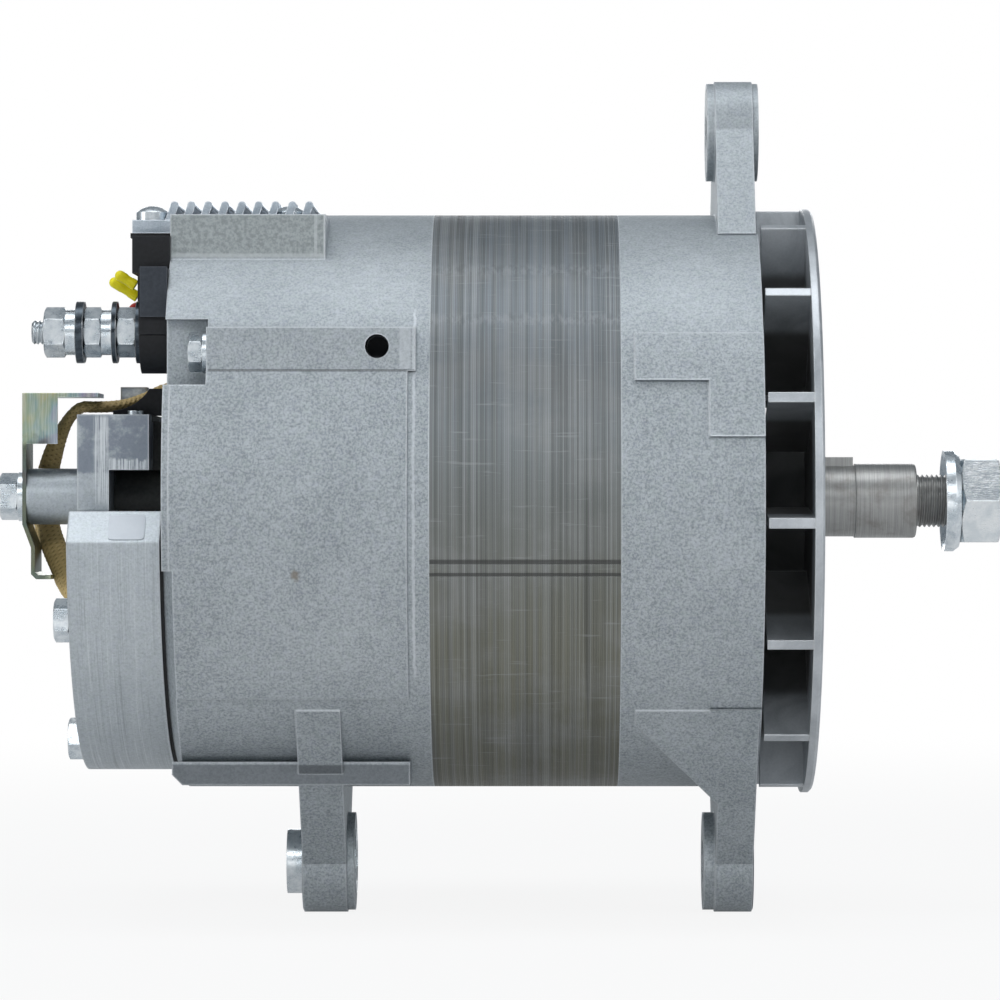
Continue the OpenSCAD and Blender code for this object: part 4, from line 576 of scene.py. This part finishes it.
# The fan is one aluminium die casting, keyed to the shaft: a flat plate with square blades
# behind it. It is smoother than the housings, with cloudy flow marks; inside, behind the
# plate, it is darkened by dust and painted shade.
FAN_DUST_AND_SHADE_R, FAN_PLATE_X = (0.0740, 0.0700), (-0.0010, -0.0030)
diecast = Finish("die_cast_fan")
point, x, y, z = diecast.place()
flow = diecast.noise(point, 60.0, 4.0, 0.6, twist=1.2)
grit = diecast.noise(point, 1500.0, 2.0, 0.6)
colour = diecast.mix(flow.ramp(0.3, 0.7) * 0.8 + grit.ramp(0.3, 0.7) * 0.2,
                     (0.40, 0.425, 0.45), (0.58, 0.605, 0.63))
bent, edge_highlight = diecast.round_edges(0.0006)
# Dust and painted shade: darker between the blades, behind the plate.
dust_and_shade_inside = (y * y + z * z).raised(0.5).ramp(*FAN_DUST_AND_SHADE_R) * x.ramp(*FAN_PLATE_X)
colour = diecast.mix(dust_and_shade_inside * 0.70, colour, (0.105, 0.095, 0.082))
# Painted highlight: the sharp edges are lightened.
colour = diecast.mix(edge_highlight * 0.6, colour, (0.78, 0.80, 0.82))
dress(diecast.skin(colour, 0.36 + flow * 0.14, 0.85,
                   diecast.bump(flow + grit * 0.4, 0.00014, 0.5, bent)), "fan")

# The rear cover is a casting whose rim was turned, which leaves close ring marks round it.
# Its tower has a dark patina with two milled, streaky bands. A black gasket seals it.
COVER_LIGHT, COVER_DARK = (0.56, 0.60, 0.63), (0.40, 0.435, 0.46)
COVER_RIM_R = (0.0788, 0.0798)
TOWER_Z, TOWER_X = (0.006, 0.009), (-0.190, -0.194)
MILLED_X, MILLED_LOW_Z, MILLED_HIGH_Z = -0.2101, (-0.002, 0.0), (0.026, 0.024)
ARCH_HIGH_Z, ARCH_LOW_Z = (0.0158, 0.0150), (0.0085, 0.0090)
ARCH_REAR_X, ARCH_FRONT_X = (-0.2085, -0.2070), (-0.1940, -0.1965)
turned = Finish("turned_cover_aluminium")
point, x, y, z = turned.place()
colour, height, speck = cast_skin(turned, point, COVER_LIGHT, COVER_DARK, 0.7)
tooled = turned.noise(point, 1.0, 3.0, 0.7, stretch=(1900.0, 14.0, 14.0))
rim = (y * y + z * z).raised(0.5).ramp(*COVER_RIM_R)
colour = turned.mix(tooled.ramp(0.54, 0.70) * 0.55 * rim, colour, (0.74, 0.77, 0.79))
colour = turned.mix(tooled.ramp(0.46, 0.30) * 0.50 * rim, colour, (0.24, 0.26, 0.275))
patina = turned.noise(point, 120.0, 4.0, 0.66) * (z.ramp(*TOWER_Z) * x.ramp(*TOWER_X))
colour = turned.mix(patina.ramp(0.34, 0.54) * 0.72, colour, (0.175, 0.205, 0.260))
milled = (x - MILLED_X).size().ramp(0.0026, 0.0014)
milled = milled * z.ramp(*MILLED_LOW_Z) * z.ramp(*MILLED_HIGH_Z)
torn = turned.noise(point, 260.0, 3.0, 0.6)
milled = milled.either((z + torn * 0.006).ramp(*ARCH_HIGH_Z) * z.ramp(*ARCH_LOW_Z)
                       * x.ramp(*ARCH_REAR_X) * x.ramp(*ARCH_FRONT_X))
streak = turned.noise(point, 1.0, 3.0, 0.6, stretch=(3000.0, 100.0, 60.0))
colour = turned.mix(milled * streak.ramp(0.38, 0.6) * 0.8, colour, (0.80, 0.83, 0.85))
bent, edge_highlight = turned.round_edges(0.0010)
# Painted highlight: the sharp edges are lightened.
colour = turned.mix(edge_highlight * 0.5, colour, (0.70, 0.72, 0.74))
dress(turned.skin(colour, 0.42 + speck * 0.12, 0.78,
                  turned.bump(height * (1.0 - rim * 0.7) + tooled * rim, 0.00012, 0.6, bent)),
      "rear_cover")


def moulding(name, dark, light, rough, grain=900.0):
    """Moulded plastic or rubber: fine grain, dust in the low places, and painted highlights on
    its sharp edges.
    """
    made = Finish(name)
    point = made.here()
    fine = made.noise(point, grain, 3.0, 0.6)
    dust = made.noise(point, 90.0, 4.0, 0.65)
    colour = made.mix(fine.ramp(0.3, 0.75) * 0.5 + dust.ramp(0.45, 0.8) * 0.5, dark, light)
    bent, edge_highlight = made.round_edges(0.0005)
    # Painted highlight: the sharp edges are lightened.
    colour = made.mix(edge_highlight * 0.35, colour, tuple(min(1.0, 2.2 * c + 0.02) for c in light))
    return made.skin(colour, rough + dust * 0.2, 0.0, made.bump(fine, 0.00006, 0.6, bent),
                     Specular_IOR_Level=0.35)


dress(moulding("black_gasket", (0.012, 0.012, 0.013), (0.030, 0.030, 0.032), 0.6),
      "cover_gasket", "insulator_sheet")

# The terminal block and the brush gear are black phenolic mouldings; the brushes are carbon
# with copper in it, and run on two copper rings on a moulded hub.
dress(moulding("black_phenolic", (0.004, 0.0045, 0.006), (0.012, 0.013, 0.017), 0.34),
      "terminal_block", "brush_cap", "slip_ring_hub", "regulator", "lead_boot")
dress(moulding("dusty_shroud", (0.030, 0.031, 0.030), (0.065, 0.066, 0.062), 0.45),
      "brush_holder")
dress(moulding("grey_panel", (0.026, 0.032, 0.042), (0.048, 0.056, 0.070), 0.40),
      "terminal_panel")
dress(moulding("brush_carbon", (0.020, 0.018, 0.017), (0.075, 0.060, 0.050), 0.5),
      "brush_front", "brush_rear")

copper = Finish("worn_copper_ring")
point = copper.here()
track = copper.noise(point, 1.0, 3.0, 0.6, stretch=(7000.0, 30.0, 30.0))
colour = copper.mix(track.ramp(0.3, 0.7), (0.42, 0.17, 0.08), (0.72, 0.38, 0.24))
dress(copper.skin(colour, 0.20 + track * 0.15, 1.0, copper.bump(track, 0.00003, 0.5)),
      "slip_rings")

# The heat sink is an aluminium extrusion with leaning fins and bare, slightly oxidised
# faces. Six press-fit diodes with nickel plated cups sit in its lower side.
extruded = Finish("extruded_heat_sink")
point = extruded.here()
drawn = extruded.noise(point, 1.0, 3.0, 0.65, stretch=(2600.0, 26.0, 2600.0))
oxide = extruded.noise(point, 150.0, 4.0, 0.6)
colour = extruded.mix(drawn.ramp(0.3, 0.7) * 0.6 + oxide.ramp(0.3, 0.7) * 0.4,
                      (0.34, 0.40, 0.46), (0.60, 0.65, 0.70))
bent, edge_highlight = extruded.round_edges(0.0005)
# Painted highlight: the sharp edges are lightened.
colour = extruded.mix(edge_highlight * 0.6, colour, (0.80, 0.83, 0.86))
dress(extruded.skin(colour, 0.32 + oxide * 0.15, 0.9, extruded.bump(drawn, 0.00006, 0.6, bent)),
      "heat_sink", "diodes")

# The output stud is an M8 bolt with a dull silver plate, whose head sits inside the block.
# Its rolled thread shows between the nuts and at the plain tip.
STUD_Y, STUD_Z = -0.045, 0.049
STUD_TIP_R, STUD_NECK_R, STUD_CREST = 0.0029, 0.0035, 0.0039
STUD_NECK_END, STUD_THREAD_FROM, STUD_THREAD_TO = -0.2249, -0.2245, -0.2000
STUD_PITCH, STUD_DEPTH, STUD_COLUMNS = 0.00125, 0.00055, 40
silver = zinc_plate("silvered_stud", (0.62, 0.66, 0.68), (0.36, 0.39, 0.42))
dress(silver, "output_stud")
stud_low, stud_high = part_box("output_stud")
stud_end = stud_low[0]
stud_steps = [(stud_end, STUD_TIP_R), (stud_end + 0.0006, STUD_NECK_R)]
stud_steps += [(at, STUD_NECK_R) for at in np.linspace(stud_end + 0.0009, STUD_NECK_END, 26)]
stud_steps += [(at, STUD_CREST) for at in np.linspace(STUD_THREAD_FROM, STUD_THREAD_TO, 150)]
stud_steps += [(stud_high[0], STUD_CREST)]
stud_thread = thread_wave(stud_end + 0.0004, STUD_THREAD_TO, STUD_PITCH, STUD_DEPTH)
stud = lathe(stud_steps, STUD_COLUMNS, stud_thread) + np.array([0.0, STUD_Y, STUD_Z])
grid_piece("stud_threaded", stud, silver, "casing", "output_stud")

# The bracket is bent from sheet steel with a yellow zinc finish, whose thin film shows
# bands of gold, green, blue and violet. Its lower leg is darker.
DARK_LEG_Z, DARK_LEG_X = (0.0205, 0.0145), (-0.2250, -0.2290)
passivate = Finish("yellow_zinc_sheet")
point, x, _, z = passivate.place()
bands = passivate.noise(point, 38.0, 3.0, 0.55, twist=1.5)
colour = passivate.add("ShaderNodeValToRGB", {"stops": [
    (0.30, (0.42, 0.47, 0.38)), (0.42, (0.52, 0.51, 0.30)), (0.50, (0.38, 0.47, 0.34)),
    (0.58, (0.30, 0.44, 0.47)), (0.66, (0.40, 0.36, 0.50)), (0.76, (0.48, 0.47, 0.30))]},
    {0: bands})
brushed = passivate.noise(point, 1.0, 3.0, 0.65, stretch=(2400.0, 40.0, 90.0))
colour = passivate.mix(brushed.ramp(0.40, 0.62) * 0.45, colour, (0.74, 0.77, 0.72))
dark_leg_wobble = passivate.noise(point, 160.0, 3.0, 0.65)
# The lower leg is darker below a ragged line.
low = (z + (dark_leg_wobble - 0.5) * 0.012).ramp(*DARK_LEG_Z) * x.ramp(*DARK_LEG_X)
colour = passivate.mix(low * 0.80, colour, (0.075, 0.085, 0.060))
bent, edge_highlight = passivate.round_edges(0.0004)
dress(passivate.skin(colour, 0.24 + bands * 0.1, 1.0, passivate.bump(bands, 0.0001, 0.3, bent)),
      "bracket")

# A glass fibre sleeve runs from a hole in the rear wall, over the brush tower and under the
# bracket, down to the cover. It is a flattened golden brown tube of six strands each way that
# cross over and under each other; after the tower it turns its broad side out.
SLEEVE_HALF_W, SLEEVE_HALF_T, SLEEVE_WIDER = 0.0030, 0.0018, 0.0011
STRANDS, STRAND_LAY, STRAND_RELIEF = 6, 0.0098, 0.00040
STRAND_ROUND, STRAND_TOP, STRAND_CROSS = 0.6, 0.78, 0.22
WIDE_FROM, WIDE_GROWS, WIDE_TO, WIDE_SHRINKS = 0.050, 0.020, 0.108, 0.012
FLAT_TO, FLAT_TURNS = 0.052, 0.016
SLEEVE_COLUMNS, SLEEVE_STEPS = 72, 30
SLEEVE_ROUTE = [
    (-188.05, 16, 34), (-192, 16, 34), (-195, 16, 33.6), (-200, 13.5, 31.1), (-205, 9.5, 29.2),
    (-210, 6.8, 28.4), (-215, 6.2, 28.25), (-219, 6.4, 28), (-222.7, 7.6, 24.7),
    (-226.1, 9.8, 18.5), (-228.7, 12, 11.5), (-230.3, 13.8, 4.5), (-230.6, 14.4, -2.5),
    (-229.5, 13.4, -9), (-227.1, 10, -14.8), (-224.6, 5, -19.6), (-222.5, -0.5, -23.8),
    (-220.7, -5, -26.8), (-218.6, -7, -28), (-217, -7, -28), (-215.45, -7, -28)]


def smooth_route(route, steps):
    """Points of the smooth curve through a route given in millimetres, as in the CAD source:
    each stretch is the cubic that takes its slopes from the two points around it."""
    p = np.array(route, float) * 0.001
    a, b = np.vstack([p[:1], p[:-2]]), p[:-1]
    c, d = p[1:], np.vstack([p[2:], p[-1:]])
    t = (np.arange(steps) / steps)[None, :, None]
    a, b, c, d = (q[:, None, :] for q in (a, b, c, d))
    curve = 0.5 * (2 * b + (c - a) * t + (2 * a - 5 * b + 4 * c - d) * t ** 2
                   + (3 * b - a - 3 * c + d) * t ** 3)
    return np.vstack([curve.reshape(-1, 3), p[-1:]])


def walked(path):
    """How far each point of a path lies from its start."""
    return np.concatenate([[0], np.cumsum(np.linalg.norm(np.diff(path, axis=0), axis=1))])


def tube(path, columns, outline):
    """Rings round a path. outline(length, angle) gives how far each point lies along the
    path's side and its other cross direction, which are carried along without a twist."""
    along = np.gradient(path, axis=0)
    along /= np.linalg.norm(along, axis=1)[:, None]
    side = np.cross(along, np.array([0.2, 1.0, 0.1]))
    side /= np.linalg.norm(side, axis=1)[:, None]
    up = np.cross(along, side)
    first, second = outline(walked(path)[:, None], full_turn(columns)[None, :])
    return path[:, None, :] + first[..., None] * side[:, None, :] \
        + second[..., None] * up[:, None, :]


def strands(length, angle):
    """How high the braid stands, from 0 to 1: the higher of two crossed rounded waves, with
    each strand in turn over and under the others."""
    turn = length / STRAND_LAY * 2 * np.pi
    one = np.cos(STRANDS * (angle + turn)) * 0.5 + 0.5
    two = np.cos(STRANDS * (angle - turn)) * 0.5 + 0.5
    over = np.cos(STRANDS * angle) * np.cos(STRANDS * turn) * STRAND_CROSS
    return np.clip(np.maximum(one ** STRAND_ROUND * (STRAND_TOP + over),
                              two ** STRAND_ROUND * (STRAND_TOP - over)), 0, 1)


def flat_braid(length, angle):
    """An ellipse with the strands' relief, turned a quarter from flat to upright where the
    sleeve bends down behind the tower, and wider in its lower run."""
    relief = STRAND_RELIEF * (strands(length, angle) - 1)
    wider = np.clip((length - WIDE_FROM) / WIDE_GROWS, 0, 1) \
        * np.clip((WIDE_TO - length) / WIDE_SHRINKS, 0, 1)
    broad, thin = SLEEVE_HALF_W + SLEEVE_WIDER * wider + relief, SLEEVE_HALF_T + relief
    quarter = np.pi / 2 * np.clip((FLAT_TO - length) / FLAT_TURNS, 0, 1)
    one, two = broad * np.cos(angle), thin * np.sin(angle)
    return (one * np.cos(quarter) - two * np.sin(quarter),
            one * np.sin(quarter) + two * np.cos(quarter))


braid = Finish("varnished_braid")
point = braid.here()
weave = braid.add("ShaderNodeAttribute", {"attribute_name": "weave"}, out="Fac")
varnish = braid.noise(point, 320.0, 3.0, 0.6)
fibre = braid.noise(point, 4200.0, 2.0, 0.6)
# Painted shade and highlight: darker where the strands dip, golden on their crowns.
colour = braid.mix(weave.ramp(0.0, 0.60), (0.285, 0.185, 0.062), (0.60, 0.44, 0.185))
colour = braid.mix(varnish.ramp(0.50, 0.72) * 0.35, colour, (0.38, 0.245, 0.085))
colour = braid.mix(fibre.ramp(0.52, 0.72) * 0.40, colour, (0.80, 0.67, 0.40))
dress(braid.skin(colour, 0.52 + fibre * 0.1, 0.0, braid.bump(fibre, 0.0001, 0.6)),
      "braided_sleeve")
sleeve_path = smooth_route(SLEEVE_ROUTE, SLEEVE_STEPS)
sleeve = grid_piece("sleeve_braided", tube(sleeve_path, SLEEVE_COLUMNS, flat_braid),
                    braid.material, "casing", "braided_sleeve")
weave_height = sleeve.data.attributes.new("weave", "FLOAT", "POINT")
weave_height.data.foreach_set(
    "value", strands(walked(sleeve_path)[:, None], full_turn(SLEEVE_COLUMNS)[None, :]).ravel())

# The red wire has a smooth skin and loops from the block to a hole in the rear wall. Its
# points are in millimetres, as in the CAD source.
RED_R, RED_COLUMNS, RED_STEPS = 0.0011, 20, 10
RED_ROUTE = [
    (-199.3, -12.5, 58), (-201.2, -12.5, 57.8), (-202.5, -12.6, 56), (-202.6, -13, 52),
    (-201.5, -14.5, 47.5), (-198, -17, 44.5), (-192.5, -19, 42.8), (-188.3, -20, 42)]


def round_wire(length, angle):
    """A circle of the wire's radius."""
    return RED_R * np.cos(angle) + 0 * length, RED_R * np.sin(angle) + 0 * length


red = moulding("red_insulation", (0.36, 0.020, 0.016), (0.56, 0.05, 0.035), 0.32, 500.0)
dress(red, "red_wire")
grid_piece("wire_red", tube(smooth_route(RED_ROUTE, RED_STEPS), RED_COLUMNS, round_wire),
           red, "casing", "red_wire")

# The two push-on terminals are crimped on stubs of wire and covered by soft yellow vinyl,
# drawn out to rounded fingers that hang out of the block at a slant. Each is a profile that
# is turned round its own axis and cut off inside the block's rear face.
VINYL_R, VINYL_WAIST, VINYL_SLANT, VINYL_COLUMNS = 0.0016, 0.90, math.radians(32), 28
VINYL_X, VINYL_CUT = -0.1990, -0.00002
VINYL_CRIMP = (0.62, 0.55, 0.40, 0.33)
VINYL_PLACES = ((-0.0240, 0.0629, 0.0082), (-0.0170, 0.0598, 0.0109))
yellow = moulding("yellow_vinyl", (0.90, 0.78, 0.008), (1.0, 0.93, 0.025), 0.26, 500.0)
dress(yellow, "yellow_terminals")
for count, (there_y, there_z, reach) in enumerate(VINYL_PLACES):
    profile = [(-reach + VINYL_R * (1 - np.cos(t)), VINYL_R * np.sin(t))
               for t in np.linspace(0.06, np.pi / 2, 10)]
    profile += [(-reach * at, VINYL_R * girth) for at, girth in
                zip(VINYL_CRIMP, (1.0, VINYL_WAIST, VINYL_WAIST, 1.0))]
    profile += [(-VINYL_R * 0.75, VINYL_R)]
    ring = lathe(profile, VINYL_COLUMNS)
    slanted_x = ring[..., 0] * math.cos(VINYL_SLANT) + ring[..., 2] * math.sin(VINYL_SLANT)
    slanted_z = ring[..., 2] * math.cos(VINYL_SLANT) - ring[..., 0] * math.sin(VINYL_SLANT)
    finger = np.stack([np.minimum(slanted_x, VINYL_CUT) + VINYL_X, ring[..., 1] + there_y,
                       slanted_z + there_z], -1)
    grid_piece("vinyl_finger_" + "ab"[count], finger, yellow, "casing",
               *(("yellow_terminals",) if count == 0 else ()))

# The blank label is a thin vinyl sheet with rounded corners, stuck on the sloping facet of
# the cover. Its outline is the superellipse |u|^n + |v|^n = 1 with n = 9.
LABEL_AT, LABEL_HALF = (-0.19845, -0.0752, -0.0076), (0.00525, 0.0050)
LABEL_POWER, LABEL_COLUMNS = 9, 72
LABEL_LAYERS = ((0.00003, 1.0), (0.00024, 1.0), (0.00031, 0.97))
sticker = Finish("blank_label")
point = sticker.here()
paper = sticker.noise(point, 600.0, 3.0, 0.6)
dress(sticker.skin(sticker.mix(paper, (0.60, 0.64, 0.69), (0.68, 0.72, 0.77)),
                   0.42 + paper * 0.1, 0.0, sticker.bump(paper, 0.00002, 0.3)), "label_plate")
turn = full_turn(LABEL_COLUMNS)
across, upward = (np.sign(wave) * np.abs(wave) ** (2 / LABEL_POWER) * half
                  for wave, half in zip((np.cos(turn), np.sin(turn)), LABEL_HALF))
sheets = []
for height, share in LABEL_LAYERS:
    lift, along_facet = height * math.sqrt(0.5), upward * share * math.sqrt(0.5)
    sheets.append(np.stack([LABEL_AT[0] + across * share, LABEL_AT[1] + along_facet - lift,
                            LABEL_AT[2] + along_facet + lift], -1))
grid_piece("label_blank", np.array(sheets), sticker.material, "casing", "label_plate")
